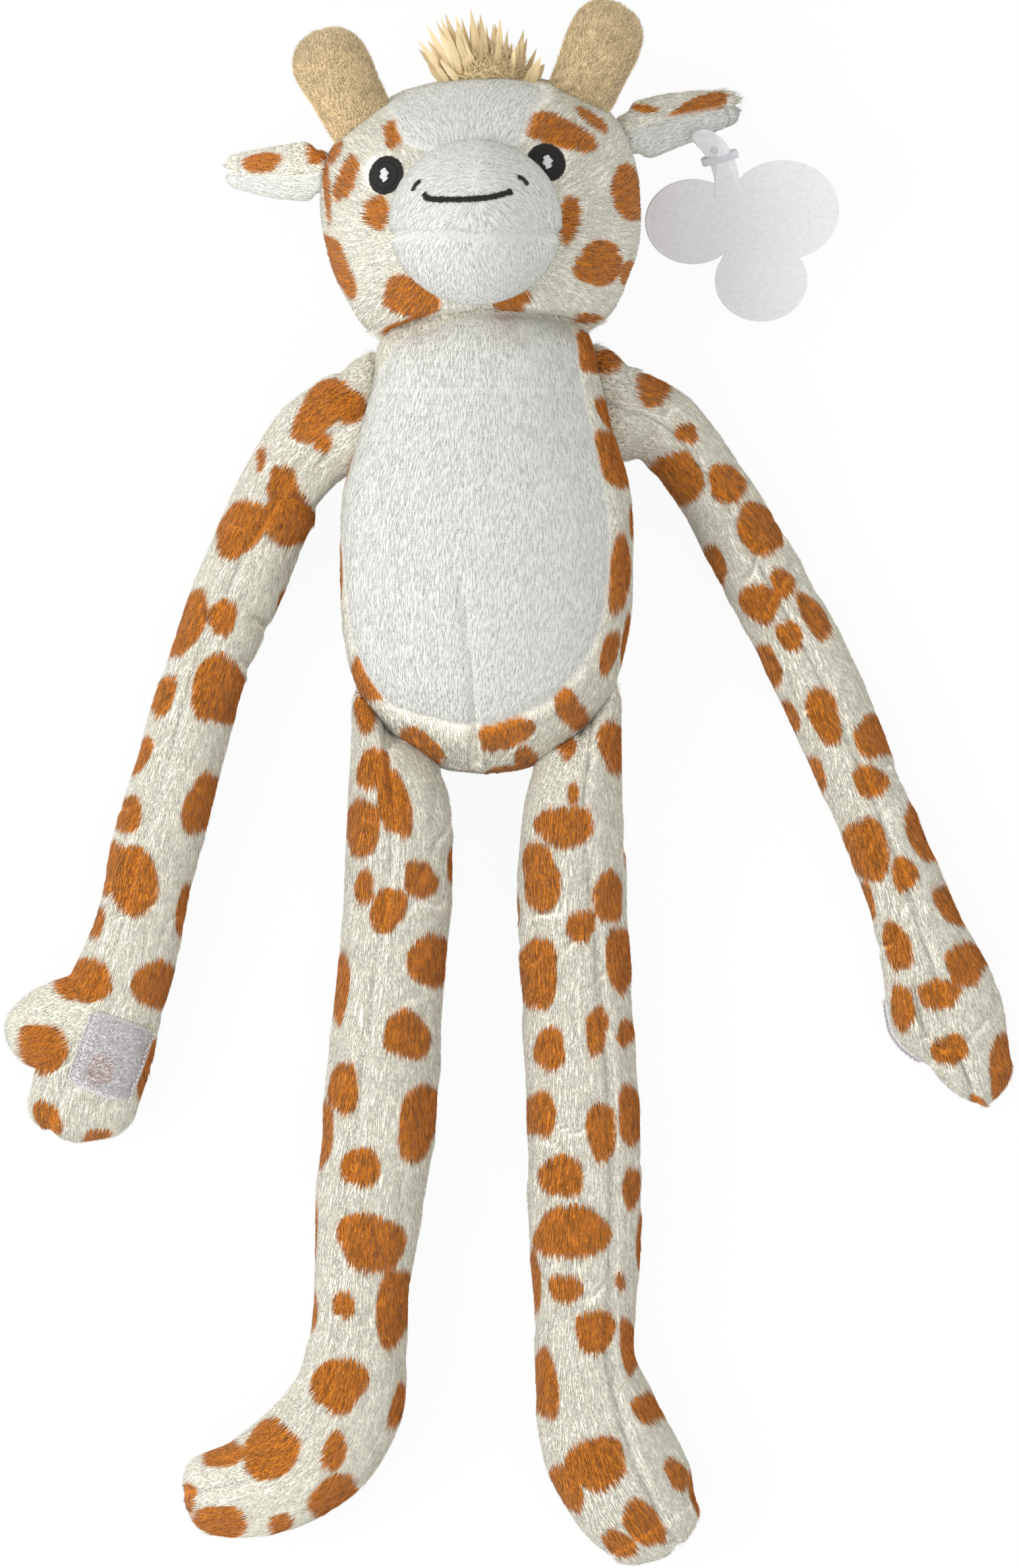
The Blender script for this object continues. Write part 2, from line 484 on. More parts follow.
def limb_rings(at, root_z, reach, heading, sizes, shares, step=SKIN_STEP, settle=LIMB_SETTLE):
    """The rings of an arm, a leg or an ear, from the back of its round root to its tip."""
    width, depth, root = sizes
    along = np.array([math.sin(heading), -math.cos(heading), 0.0])
    aside = np.array([-along[1], along[0], 0.0])
    rows = [(0.0, 0.0, root, root, shares[0][4] * root / 2)]
    for a, b, w, d, seam in shares:
        rows.append((a * reach, b * reach, w * width, d * depth, seam * w * width / 2))
    a, b, w, d, seam = evenly(rows, [0, 1], step).T
    near = np.clip(1 - a / (settle * reach), 0, 1)
    lift = near * near * (3 - 2 * near) * (root_z - (root / 2 - FLAT_DEPTH))
    centres = np.array([at[0], at[1], 0.0]) + a[:, None] * along + b[:, None] * aside
    centres[:, 2] = d / 2 - FLAT_DEPTH + lift
    ways = unit(np.gradient(centres[:, :2], axis=0))
    half_wide, half_deep = w / 2, d / 2
    turns = np.linspace(0, math.pi / 2, max(int(root / 2 * 1.6 / step), 6), endpoint=False)
    back = centres[0] - np.append(ways[0], 0) * (root / 2 * np.cos(turns))[:, None]
    ends = np.linspace(0, math.pi / 2, max(int(half_wide[-1] * 1.4 / step), 6) + 1)[1:]
    front = centres[-1] + np.append(ways[-1], 0) * (TIP_SHARE * half_wide[-1] * np.sin(ends))[:, None]
    centres = np.concatenate([back, centres, front])
    ways = np.concatenate([np.repeat(ways[:1], len(turns), 0), ways, np.repeat(ways[-1:], len(ends), 0)])
    half_wide = np.concatenate([root / 2 * np.sin(turns), half_wide, half_wide[-1] * np.cos(ends)])
    half_deep = np.concatenate([root / 2 * np.sin(turns), half_deep, half_deep[-1] * np.cos(ends)])
    seam = np.concatenate([np.repeat(seam[:1], len(turns)), seam, np.repeat(seam[-1:], len(ends))])
    half_wide[-1] = half_deep[-1] = half_wide[0] = half_deep[0] = 0
    sides = int(math.pi * max(width, depth) / step)
    angle = 2 * math.pi * np.arange(sides) / sides
    across = np.stack([-ways[:, 1], ways[:, 0], np.zeros(len(ways))], axis=1)
    rings = centres[:, None] + across[:, None] * (half_wide[:, None] * np.sin(angle))[..., None]
    rings[..., 2] -= half_deep[:, None] * np.cos(angle)
    from_seam = half_wide[:, None] * np.sin(angle) - seam[:, None]
    ways = np.concatenate([ways, np.zeros((len(ways), 1))], axis=1)
    lay = np.repeat(ways[:, None], sides, 1)
    return rings, from_seam, lay, centres


def by_point(grid):
    """A grid's values in the order of the closed skin's points."""
    return np.concatenate([grid[0, :1], grid[1:-1].reshape(-1, *grid.shape[2:]), grid[-1, :1]])


def pile_material(name, rough, sheen, dark_root):
    """Cloth pile: its printed colour, flecked a little, darker at the root of each strand."""
    material = bpy.data.materials.new(name)
    material.use_nodes = True
    nodes, links = material.node_tree.nodes, material.node_tree.links
    shader = nodes["Principled BSDF"]
    shader.inputs["Roughness"].default_value = rough
    shader.inputs["Sheen Weight"].default_value = sheen
    shader.inputs["Sheen Roughness"].default_value = 0.5
    shader.inputs["Specular IOR Level"].default_value = 0.1
    tint = nodes.new("ShaderNodeAttribute")
    tint.attribute_name = "tint"
    place = nodes.new("ShaderNodeTexCoord")
    fleck = nodes.new("ShaderNodeTexNoise")
    fleck.inputs["Scale"].default_value = 260.0
    fleck.inputs["Detail"].default_value = 3.0
    links.new(place.outputs["Object"], fleck.inputs["Vector"])
    spread = nodes.new("ShaderNodeMapRange")
    spread.inputs["From Min"].default_value = 0.3
    spread.inputs["From Max"].default_value = 0.7
    spread.inputs["To Min"].default_value = 0.97
    spread.inputs["To Max"].default_value = 1.03
    links.new(fleck.outputs["Fac"], spread.inputs["Value"])
    height = nodes.new("ShaderNodeAttribute")
    height.attribute_name = "tipward"
    shade = nodes.new("ShaderNodeMapRange")
    shade.inputs["To Min"].default_value = dark_root
    shade.inputs["To Max"].default_value = 1.0
    links.new(height.outputs["Fac"], shade.inputs["Value"])
    both = nodes.new("ShaderNodeMath")
    both.operation = "MULTIPLY"
    links.new(spread.outputs["Result"], both.inputs[0])
    links.new(shade.outputs["Result"], both.inputs[1])
    colour = nodes.new("ShaderNodeVectorMath")
    colour.operation = "SCALE"
    links.new(tint.outputs["Color"], colour.inputs[0])
    links.new(both.outputs["Value"], colour.inputs["Scale"])
    links.new(colour.outputs["Vector"], shader.inputs["Base Color"])
    return material


def pile_tree():
    """Grows leaning strands over a skin, with the skin's own colour, direction and pile share."""
    tree = bpy.data.node_groups.new("leaning_pile", "GeometryNodeTree")
    tree.is_modifier = True
    face = tree.interface
    face.new_socket("Geometry", in_out="INPUT", socket_type="NodeSocketGeometry")
    for word, value in (("Strands per m2", 1e6), ("Length", 0.0026), ("Width", 0.0007), ("Lie", 1.2), ("Stray", 0.3), ("Lock Size", 0.004), ("Lock Stretch", 4.0), ("Flatness", 0.35), ("Swirl", 1.2)):
        face.new_socket(word, in_out="INPUT", socket_type="NodeSocketFloat").default_value = value
    face.new_socket("Seed", in_out="INPUT", socket_type="NodeSocketInt")
    face.new_socket("Finish", in_out="INPUT", socket_type="NodeSocketMaterial")
    face.new_socket("Geometry", in_out="OUTPUT", socket_type="NodeSocketGeometry")
    new, link = tree.nodes.new, tree.links.new
    given, made = new("NodeGroupInput"), new("NodeGroupOutput")

    def attribute(name, kind):
        node = new("GeometryNodeInputNamedAttribute")
        node.data_type = kind
        node.inputs["Name"].default_value = name
        return node.outputs["Attribute"]

    def vector(operation, first, second=None, scale=None):
        node = new("ShaderNodeVectorMath")
        node.operation = operation
        link(first, node.inputs[0])
        if second is not None:
            link(second, node.inputs[1])
        if scale is not None:
            link(scale, node.inputs["Scale"])
        return node.outputs["Vector"]

    def number(operation, first, second):
        node = new("ShaderNodeMath")
        node.operation = operation
        for socket, value in zip(node.inputs, (first, second)):
            if isinstance(value, float):
                socket.default_value = value
            else:
                link(value, socket)
        return node.outputs["Value"]

    scatter = new("GeometryNodeDistributePointsOnFaces")
    link(given.outputs["Geometry"], scatter.inputs["Mesh"])
    share = number("MINIMUM", number("MULTIPLY", attribute("pile", "FLOAT"), 4.0), 1.0)
    link(number("MULTIPLY", given.outputs["Strands per m2"], share), scatter.inputs["Density"])
    link(given.outputs["Seed"], scatter.inputs["Seed"])

    place = new("GeometryNodeInputPosition")
    locks = new("ShaderNodeTexNoise")
    locks.inputs["Detail"].default_value = 1.5
    lay = attribute("lay", "FLOAT_VECTOR")
    along = new("ShaderNodeVectorMath")
    along.operation = "DOT_PRODUCT"
    link(place.outputs["Position"], along.inputs[0])
    link(lay, along.inputs[1])
    drawn = number("SUBTRACT", 1.0, number("DIVIDE", 1.0, given.outputs["Lock Stretch"]))
    along = vector("SCALE", lay, scale=number("MULTIPLY", along.outputs["Value"], drawn))
    streaked = vector("SUBTRACT", place.outputs["Position"], along)
    streaked = vector("SCALE", streaked, scale=number("DIVIDE", 1.0, given.outputs["Lock Size"]))
    link(streaked, locks.inputs["Vector"])
    locks.inputs["Scale"].default_value = 1.0
    flecks = new("ShaderNodeTexNoise")
    flecks.inputs["Scale"].default_value = 3.2
    flecks.inputs["Detail"].default_value = 2.0
    link(streaked, flecks.inputs["Vector"])
    fleck = new("GeometryNodeStoreNamedAttribute")
    fleck.data_type = "FLOAT"
    fleck.domain = "POINT"
    fleck.inputs["Name"].default_value = "fleck"
    link(scatter.outputs["Points"], fleck.inputs["Geometry"])
    link(number("SUBTRACT", flecks.outputs["Fac"], 0.5), fleck.inputs["Value"])
    centred = new("ShaderNodeVectorMath")
    centred.operation = "SUBTRACT"
    link(locks.outputs["Color"], centred.inputs[0])
    centred.inputs[1].default_value = (0.5, 0.5, 0.5)
    stray = new("FunctionNodeRandomValue")
    stray.data_type = "FLOAT_VECTOR"
    stray.inputs["Min"].default_value = (-1, -1, -1)
    stray.inputs["Max"].default_value = (1, 1, 1)
    link(given.outputs["Seed"], stray.inputs["Seed"])
    lean = vector("SCALE", lay, scale=given.outputs["Lie"])
    way = vector("ADD", scatter.outputs["Normal"], lean)
    full = attribute("pile", "FLOAT")
    swirl = number("MULTIPLY", given.outputs["Swirl"], number("POWER", full, 3.0))
    swirl = vector("SCALE", centred.outputs["Vector"], scale=swirl)
    way = vector("ADD", way, swirl)
    way = vector("ADD", way, vector("SCALE", stray.outputs["Value"], scale=given.outputs["Stray"]))
    aim = new("FunctionNodeAlignRotationToVector")
    aim.axis = "Z"
    link(way, aim.inputs["Vector"])
    flat = new("FunctionNodeAlignRotationToVector")
    flat.axis = "Y"
    flat.pivot_axis = "Z"
    link(aim.outputs["Rotation"], flat.inputs["Rotation"])
    link(scatter.outputs["Normal"], flat.inputs["Vector"])

    strand = new("GeometryNodeMeshCone")
    strand.fill_type = "NGON"
    strand.inputs["Vertices"].default_value = 3
    strand.inputs["Radius Top"].default_value = 0.0
    strand.inputs["Radius Bottom"].default_value = 0.5
    strand.inputs["Depth"].default_value = 1.0
    keep = new("GeometryNodeStoreNamedAttribute")
    keep.data_type = "FLOAT"
    keep.domain = "POINT"
    keep.inputs["Name"].default_value = "tipward"
    rise = new("ShaderNodeSeparateXYZ")
    at = new("GeometryNodeInputPosition")
    link(at.outputs["Position"], rise.inputs["Vector"])
    link(rise.outputs["Z"], keep.inputs["Value"])
    link(strand.outputs["Mesh"], keep.inputs["Geometry"])

    vary = new("FunctionNodeRandomValue")
    vary.data_type = "FLOAT"
    vary.inputs[2].default_value = 0.7
    vary.inputs[3].default_value = 1.25
    long = number("MULTIPLY", given.outputs["Length"], number("MULTIPLY", vary.outputs[1], full))
    size = new("ShaderNodeCombineXYZ")
    link(given.outputs["Width"], size.inputs["X"])
    link(number("MULTIPLY", given.outputs["Width"], given.outputs["Flatness"]), size.inputs["Y"])
    link(long, size.inputs["Z"])
    plant = new("GeometryNodeInstanceOnPoints")
    link(fleck.outputs["Geometry"], plant.inputs["Points"])
    link(keep.outputs["Geometry"], plant.inputs["Instance"])
    link(flat.outputs["Rotation"], plant.inputs["Rotation"])
    link(size.outputs["Vector"], plant.inputs["Scale"])
    real = new("GeometryNodeRealizeInstances")
    link(plant.outputs["Instances"], real.inputs["Geometry"])
    finish = new("GeometryNodeSetMaterial")
    link(real.outputs["Geometry"], finish.inputs["Geometry"])
    link(given.outputs["Finish"], finish.inputs["Material"])
    link(finish.outputs["Geometry"], made.inputs["Geometry"])
    return tree


def put(name, mesh, material, body):
    """A finished piece of the toy, riding on its body. The cloth of a leg bends at its hip."""
    obj = bpy.data.objects.new(name, mesh)
    bpy.context.scene.collection.objects.link(obj)
    mesh.materials.clear()
    mesh.materials.append(material)
    mesh.polygons.foreach_set("use_smooth", [True] * len(mesh.polygons))
    if body in HIPS:
        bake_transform(obj)
    else:
        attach(obj, body)
    return obj


def set_input(modifier, word, value):
    for item in modifier.node_group.interface.items_tree:
        if item.name == word and item.in_out == "INPUT":
            modifier[item.identifier] = value


def grow_pile(name, skin_mesh, material, body, slot, seed, spots=(), flecked=GROUND_FLECK, **settings):
    """The strands that stand on one skin, in as many plain meshes as keep each one light."""
    chosen = {
        "Length": PILE_LENGTH,
        "Width": PILE_WIDTH,
        "Lie": 7.5,
        "Stray": 0.32,
        "Lock Size": 0.0035,
        "Lock Stretch": 4.0,
        "Flatness": 0.35,
        "Swirl": 1.4,
        "Strands per m2": PILE_PER_SQUARE_MM / MM**2,
    }
    for word, value in settings.items():
        chosen[word.replace("_", " ").title().replace("Per M2", "per m2")] = value
    area = sum(face.area for face in skin_mesh.polygons)
    passes = max(1, math.ceil(area * chosen["Strands per m2"] / STRANDS_PER_PIECE))
    chosen["Strands per m2"] /= passes
    for index in range(passes):
        host = bpy.data.objects.new(name + "_host", skin_mesh)
        bpy.context.scene.collection.objects.link(host)
        modifier = host.modifiers.new("pile", "NODES")
        modifier.node_group = PILE_TREE
        for word, value in {**chosen, "Seed": seed + 100 * index, "Finish": material}.items():
            set_input(modifier, word, value)
        mesh = made_plain(host, modifier, f"{name}_{index + 1}")
        print_strands(mesh, spots, flecked)
        bake_places(mesh)
        put(mesh.name, mesh, material, body)


def made_plain(host, modifier, name):
    """The result of a node tree as a plain mesh, with its host taken away."""
    bpy.context.view_layer.update()
    evaluated = host.evaluated_get(bpy.context.evaluated_depsgraph_get())
    mesh = bpy.data.meshes.new_from_object(evaluated)
    host.modifiers.remove(modifier)
    bpy.data.objects.remove(host)
    mesh.name = name
    return mesh


def read(mesh, name, kind, width):
    values = np.empty(len(mesh.vertices) * width, np.float32)
    mesh.attributes[name].data.foreach_get(kind, values)
    return values.reshape(-1, width).astype(float)


def print_strands(mesh, spots, flecked):
    """Prints the strands as they lie: each one takes the colour of the place that its outer half covers."""
    ground, fleck, lay = read(mesh, "ground", "color", 4), read(mesh, "fleck", "value", 1), read(mesh, "lay", "vector", 3)
    strands = points_of(mesh).reshape(-1, 4, 3)
    shown = 0.35 * strands[:, :3].mean(axis=1) + 0.65 * strands[:, 3] + (lay * fleck)[::4] * SPOT_RAGGED
    cover = np.repeat(printed(shown, spots, SPOT_SOFTNESS), 4) * ground[:, 3]
    shade = 1 + fleck * (flecked + SPOT_FLECK * cover)[:, None]
    coloured(mesh, "tint", mixed(ground[:, :3], CARAMEL, cover) * shade, np.ones(len(cover)))
    for name in ("ground", "fleck", "lay", "pile"):
        mesh.attributes.remove(mesh.attributes[name])


def bake_places(mesh):
    """Gives each strand a small patch of its own in the map that the export bakes to."""
    roots = np.empty(len(mesh.vertices) * 2, np.float32)
    mesh.attributes["skin_uv"].data.foreach_get("vector", roots)
    roots = roots.reshape(-1, 2)
    corners = np.empty(len(mesh.loops), np.int32)
    mesh.loops.foreach_get("vertex_index", corners)
    turn = 2 * math.pi * (np.arange(len(mesh.vertices)) % 4) / 3
    shift = STRAND_FOOTPRINT * np.stack([np.cos(turn), np.sin(turn)], axis=1)
    shift[3::4] = 0
    layer = mesh.uv_layers.new(name="OFBake")
    layer.uv.foreach_set("vector", (roots + shift)[corners].astype(np.float32).ravel())
    mesh.attributes.remove(mesh.attributes["skin_uv"])


PILE_TREE = pile_tree()
PLUSH = pile_material("printed_plush", 0.85, 0.12, 0.96)
HORN_PLUSH = pile_material("tan_plush", 0.85, 0.12, 0.80)
HAIR_FIBRE = pile_material("straw_hair", 0.6, 0.05, 0.88)


def dressed(name, mesh, body, slot, nodes, seed, finish=None, spots=(), nap=None, **pile):
    """A soft skin, with its pile and, on its white cloth, a fine nap, in place of the solids of the frame."""
    skin = put(name, mesh, finish or PLUSH, body)
    if nodes:
        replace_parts(skin, *nodes)
    grow_pile(name + "_pile", mesh, finish or PLUSH, body, slot, seed, spots, **pile)
    if nap is not None:
        mesh.attributes["pile"].data.foreach_set("value", nap.astype(np.float32))
        grow_pile(name + "_nap", mesh, PLUSH, body, slot, seed + 5, **VELVET)
    return skin


def folded(points, size, seed):
    """Where the cloth falls into soft folds, from 0 to 1."""
    line = np.exp(-((ripple(points, size, seed) / 0.09) ** 2))
    return line * np.clip(2.2 * ripple(points, 2 * size, seed + 1), 0, 1)


def drawn_up(points, at, outside):
    """The top of a leg, sewn on at a slant: its outer side reaches further up the flank."""
    back = np.clip(1 + (points[:, 1] - at[1]) / HIP_TAPER, 0, 1)
    back = back * back * (3 - 2 * back)
    out = outside * (points[:, 0] - at[0])
    points[:, 1] += HIP_RISE * back * np.clip(out - 0.001, 0, 0.0115)
    points[:, 0] -= outside * 0.16 * back * np.clip(out, 0, 0.02)


def shrugged(points, at, outside):
    """The top of an arm, sewn on up to the neck: its inner side reaches up beside the throat."""
    inner = np.clip(0.001 - outside * (points[:, 0] - at[0]), 0, 0.010)
    high = np.clip((points[:, 1] - at[1] - 0.002) / 0.008, 0, 1)
    points[:, 1] += 0.95 * inner * high * high * (3 - 2 * high)


def draw_right_palm(points):
    """The right palm is drawn out to a blunt point beside the thumb."""
    low = np.clip((-0.148 - points[:, 1]) / 0.020, 0, 1)
    left = np.clip((-0.112 - points[:, 0]) / 0.014, 0, 1)
    tip = np.clip((-0.160 - points[:, 1]) / 0.014, 0, 1) * np.clip((-0.100 - points[:, 0]) / 0.020, 0, 1)
    points[:, 0] -= 0.0065 * low * left
    points[:, 0] -= 0.0036 * np.clip((-0.118 - points[:, 1]) / 0.020, 0, 1) * np.clip((points[:, 0] + 0.112) / 0.016, 0, 1)
    points[:, 1] -= 0.0045 * tip


def draw_left_palm(points):
    """The left palm ends on a slant, with its furthest point on the outer side."""
    low = np.clip((-0.145 - points[:, 1]) / 0.020, 0, 1)
    points[:, 1] += 0.72 * low * np.clip(0.147 - points[:, 0], -0.004, 0.012)


PALMS = {"right_arm": draw_right_palm, "left_arm": draw_left_palm}


def limb_nodes(name):
    return [f"{name}_{word}" for word in ("outer_panel", "inner_panel", "root_wad", "stuffing")]


def sew_limb(name, at, root_z, reach, degrees, sizes, shares, spots, seed, outside, top, creases=()):
    """An arm or a leg: its two panels in one skin, drawn in along the seam and creased where it bends."""
    rings, from_seam, lay, centres = limb_rings(at, root_z, reach, math.radians(degrees), sizes, shares)
    mesh = closed_grid(name + "_plush", rings)
    points, normals = points_of(mesh), normals_of(mesh)
    seam = np.abs(by_point(from_seam)) / MM
    groove = np.exp(-((seam / SEAM_HALF) ** 2))
    groove *= np.clip(np.linalg.norm(points - points[-1], axis=1) / 0.010, 0.1, 1)
    swell = 0.6 * ripple(points, 0.030, seed) + 0.15 * ripple(points, 0.009, seed + 1)
    swell -= 0.8 * folded(points, 0.016, seed + 3)
    for line, deep, wide in creases:
        swell -= deep * np.exp(-((near_line(points, line) / wide) ** 2)) * np.clip((points[:, 2] - 0.008) / 0.006, 0, 1)
    points += normals * ((swell - SEAM_DEPTH * groove) * MM)[:, None]
    top(points, at, outside)
    if name in PALMS:
        PALMS[name](points)
    points[:, 2] = np.maximum(points[:, 2], 0.0002)
    moved(mesh, points)
    ground = np.array(CREAM) * (1 - 0.30 * np.exp(-((seam / 0.7) ** 2)))[:, None]
    pile = np.clip(0.25 + seam / 2.6, 0.25, 1.0) * np.where(points[:, 2] < 0.001, 0.35, 1.0)
    painted(mesh, ground, by_point(lay), pile, spots)
    dressed(name + "_plush", mesh, name, "spotted_plush", limb_nodes(name), seed, spots=spots)
    return surface_of(mesh)


def sew_torso():
    rows = [(a * TORSO_LENGTH, w * TORSO_WIDTH / 2, d * TORSO_DEPTH / 2, lift * TORSO_DEPTH) for a, w, d, lift in TORSO_SHARES]
    a, w, d, lift = evenly(rows, [0, 1], SKIN_STEP).T
    w, d = np.maximum(w, 0), np.maximum(d, 0)
    w[0] = d[0] = w[-1] = d[-1] = 0
    sides = int(math.pi * TORSO_WIDTH / SKIN_STEP)
    angle = 2 * math.pi * np.arange(sides) / sides
    rings = np.zeros((len(a), sides, 3))
    rings[..., 0] = w[:, None] * np.sin(angle)
    rings[..., 1] = (a - TORSO_LOW)[:, None]
    rings[..., 2] = (d + lift - FLAT_DEPTH)[:, None] - d[:, None] * np.cos(angle)
    mesh = closed_grid("torso_plush", rings)
    points, normals = points_of(mesh), normals_of(mesh)
    front = np.clip((points[:, 2] - 0.030) / 0.004, 0, 1)
    depth = within(points, BELLY_EDGE)
    edge = front * np.exp(-((depth / SEAM_HALF) ** 2))
    dart = front * np.exp(-((near_line(points, DART) / 1.1) ** 2))
    swell = 0.5 * ripple(points, 0.045, 3) + 0.2 * ripple(points, 0.012, 4)
    points += normals * ((swell - 1.0 * edge - 1.7 * dart) * MM)[:, None]
    points[:, 2] += 0.004 * front * np.clip((points[:, 1] - 0.050) / 0.014, 0, 1)
    points[:, 2] = np.maximum(points[:, 2], 0.0002)
    moved(mesh, points)
    white = front * np.clip(0.5 + depth / 0.8, 0, 1)
    flow = np.zeros_like(points)
    flow[:, 1] = -1
    pile = np.where(points[:, 2] < 0.001, 0.35, 1.0) * (1 - 0.5 * edge) * (1 - 0.5 * dart)
    painted(mesh, mixed(CREAM, np.array(WHITE) * 0.97, white), flow, pile * (1 - white), TORSO_SPOTS, 1 - white)
    dressed("torso_plush", mesh, "torso", "spotted_plush", ["torso_panel", "belly_panel", "torso_stuffing", "neck_wad"], 11,
            spots=TORSO_SPOTS, nap=pile * white)


def sew_head():
    rows = [(a * HEAD_HEIGHT, w * HEAD_WIDTH / 2, d * HEAD_DEPTH / 2) for a, w, d in HEAD_SHARES]
    a, w, d = evenly(rows, [0, 1], SKIN_STEP).T
    w, d = np.maximum(w, 0), np.maximum(d, 0)
    w[0] = d[0] = w[-1] = d[-1] = 0
    sides = int(math.pi * HEAD_WIDTH / SKIN_STEP)
    angle = 2 * math.pi * np.arange(sides) / sides
    side = np.array([math.cos(HEAD_LEAN), -math.sin(HEAD_LEAN), 0.0])
    up = np.array([math.sin(HEAD_LEAN), math.cos(HEAD_LEAN), 0.0])
    rings = HEAD + (a - HEAD_HEIGHT / 2)[:, None, None] * up + (w[:, None] * np.sin(angle))[..., None] * side
    rings[..., 2] -= d[:, None] * np.cos(angle)
    mesh = closed_grid("head_plush", rings)
    points, normals = points_of(mesh), normals_of(mesh)
    front = np.clip((points[:, 2] - 0.042) / 0.004, 0, 1)
    depth = within(points, BLAZE_EDGE)
    edge = front * np.exp(-((depth / SEAM_HALF) ** 2))
    swell = 0.4 * ripple(points, 0.040, 7) + 0.15 * ripple(points, 0.010, 8)
    points += normals * ((swell - 0.7 * edge) * MM)[:, None]
    points[:, 2] = np.maximum(points[:, 2], 0.0002)
    chin = np.interp(points[:, 0], *(np.array(CHIN_LINE) * MM).T)
    ahead = np.clip((points[:, 2] - 0.034) / 0.012, 0, 1)
    points[:, 1] += 0.94 * ahead * ahead * (3 - 2 * ahead) * np.maximum(chin - points[:, 1], 0)
    moved(mesh, points)
    white = front * np.clip(0.5 + depth / 0.8, 0, 1)
    out = points - np.array([MUZZLE[0], MUZZLE[1], points[:, 2].mean()])
    out[:, 2] *= 0.3
    flow = unit(out)
    pile = np.where(points[:, 2] < 0.001, 0.35, 1.0) * (1 - 0.45 * edge)
    for x, y in EYE_PLACES.values():
        reach = np.hypot((points[:, 0] - x) / EYE_HALF[0], (points[:, 1] - y) / EYE_HALF[1])
        pile *= np.where(front > 0, np.clip((reach - 0.95) / 0.15, 0, 1), 1.0)
    painted(mesh, mixed(CREAM, np.array(WHITE) * 0.96, white), flow, pile * (1 - white), HEAD_SPOTS, 1 - white)
    dressed("head_plush", mesh, "head", "spotted_plush", ["head_panel", "forehead_panel", "head_stuffing"], 21,
            spots=HEAD_SPOTS, nap=pile * white)
    return surface_of(mesh)


def sew_muzzle():
    turns = np.linspace(0, math.pi, int(math.pi * MUZZLE_HALF[0] / SKIN_STEP))
    sides = int(2 * math.pi * MUZZLE_HALF[0] / SKIN_STEP)
    angle = 2 * math.pi * np.arange(sides) / sides
    rings = np.zeros((len(turns), sides, 3))
    rings[..., 0] = np.sin(turns)[:, None] * np.cos(angle) * MUZZLE_HALF[0]
    rings[..., 1] = np.sin(turns)[:, None] * np.sin(angle) * MUZZLE_HALF[1]
    rings[..., 2] = -np.cos(turns)[:, None] * MUZZLE_HALF[2]
    rings += MUZZLE
    mesh = closed_grid("muzzle_plush", rings)
    points, normals = points_of(mesh), normals_of(mesh)
    from_seam = np.abs(points[:, 1] - MUZZLE[1] + MUZZLE_SEAM_DROP) / MM
    edge = np.exp(-((from_seam / SEAM_HALF) ** 2))
    swell = 0.3 * ripple(points, 0.030, 12)
    points += normals * ((swell - 1.5 * edge) * MM)[:, None]
    moved(mesh, points)
    flow = unit(unit((points - MUZZLE) * np.array([1, 1, 0.2])) + np.array([0, -0.7, 0]))
    tint = np.tile(WHITE, (len(points), 1)) * (0.98 - 0.06 * edge)[:, None]
    pile = 1 - 0.65 * edge
    for line in (MOUTH_LINE, *NOSTRIL_LINES.values()):
        pile *= np.where(points[:, 2] > MUZZLE[2], np.clip((near_line(points, line) - 0.5) / 0.6, 0, 1), 1.0)
    painted(mesh, tint, flow, pile)
    dressed("muzzle_plush", mesh, "head", "white_plush",
            ["muzzle_upper_panel", "muzzle_lower_panel", "muzzle_stuffing"], 31, **VELVET)
    return surface_of(mesh)


def surface_of(mesh):
    """A finished skin, ready to be asked where a straight line meets it."""
    return BVHTree.FromPolygons(points_of(mesh).tolist(), [tuple(face.vertices) for face in mesh.polygons])


def above(surface, x, y, way=(0, 0, -1), start=0.2):
    """Where a line straight down onto a skin meets it, and the skin's slope there."""
    place, normal, _, _ = surface.ray_cast(Vector((x, y, start)), Vector(way))
    return np.array(place), np.array(normal)


def horn_rings(at, tilt):
    """A blunt horn, a little wider towards its domed end."""
    way = np.array([math.sin(tilt), math.cos(tilt), 0.0])
    side = np.array([way[1], -way[0], 0.0])
    rows = [(0.0, 0.0)]
    for share, half in ((0.0, 0.40), (0.002, 0.86), (0.02, 1.0)):
        rows.append((share * HORN_LENGTH, half * HORN_BASE))
    for share, half in ((0.25, 0.90), (0.5, 0.95), (0.70, 1.0), (0.82, 0.97), (0.91, 0.80), (0.97, 0.52), (1.0, 0.0)):
        rows.append((share * HORN_LENGTH, half * HORN_HALF))
    reach, half = evenly(rows, [0, 1], SKIN_STEP).T
    half = np.maximum(half, 0)
    half[0] = half[-1] = 0
    foot = np.array([*at, HORN_Z]) - way * HORN_ROOT
    sides = int(2 * math.pi * HORN_HALF / SKIN_STEP)
    angle = 2 * math.pi * np.arange(sides) / sides
    rings = foot + (way * reach[:, None])[:, None] + (half[:, None] * np.sin(angle))[..., None] * side
    rings[..., 2] -= half[:, None] * np.cos(angle)
    return rings, way


def sew_horn(name, at, degrees, seed):
    rings, way = horn_rings(at, math.radians(degrees))
    mesh = closed_grid(name + "_plush", rings)
    points, normals = points_of(mesh), normals_of(mesh)
    points += normals * (0.5 * ripple(points, 0.016, seed) * MM)[:, None]
    moved(mesh, points)
    tint = np.array(TAN) * (1 + 0.16 * ripple(points, 0.005, seed + 1))[:, None]
    painted(mesh, tint, np.tile(way, (len(points), 1)), np.full(len(points), 0.8))
    settings = {"length": 0.0021, "width": 0.0005, "lie": 2.2, "stray": 0.5, "swirl": 3.0, "lock_size": 0.0022,
                "lock_stretch": 2.0, "strands_per_m2": 4.0e6, "flecked": 1.7}
    dressed(name + "_plush", mesh, "head", "tan_plush", [name], seed, HORN_PLUSH, **settings)


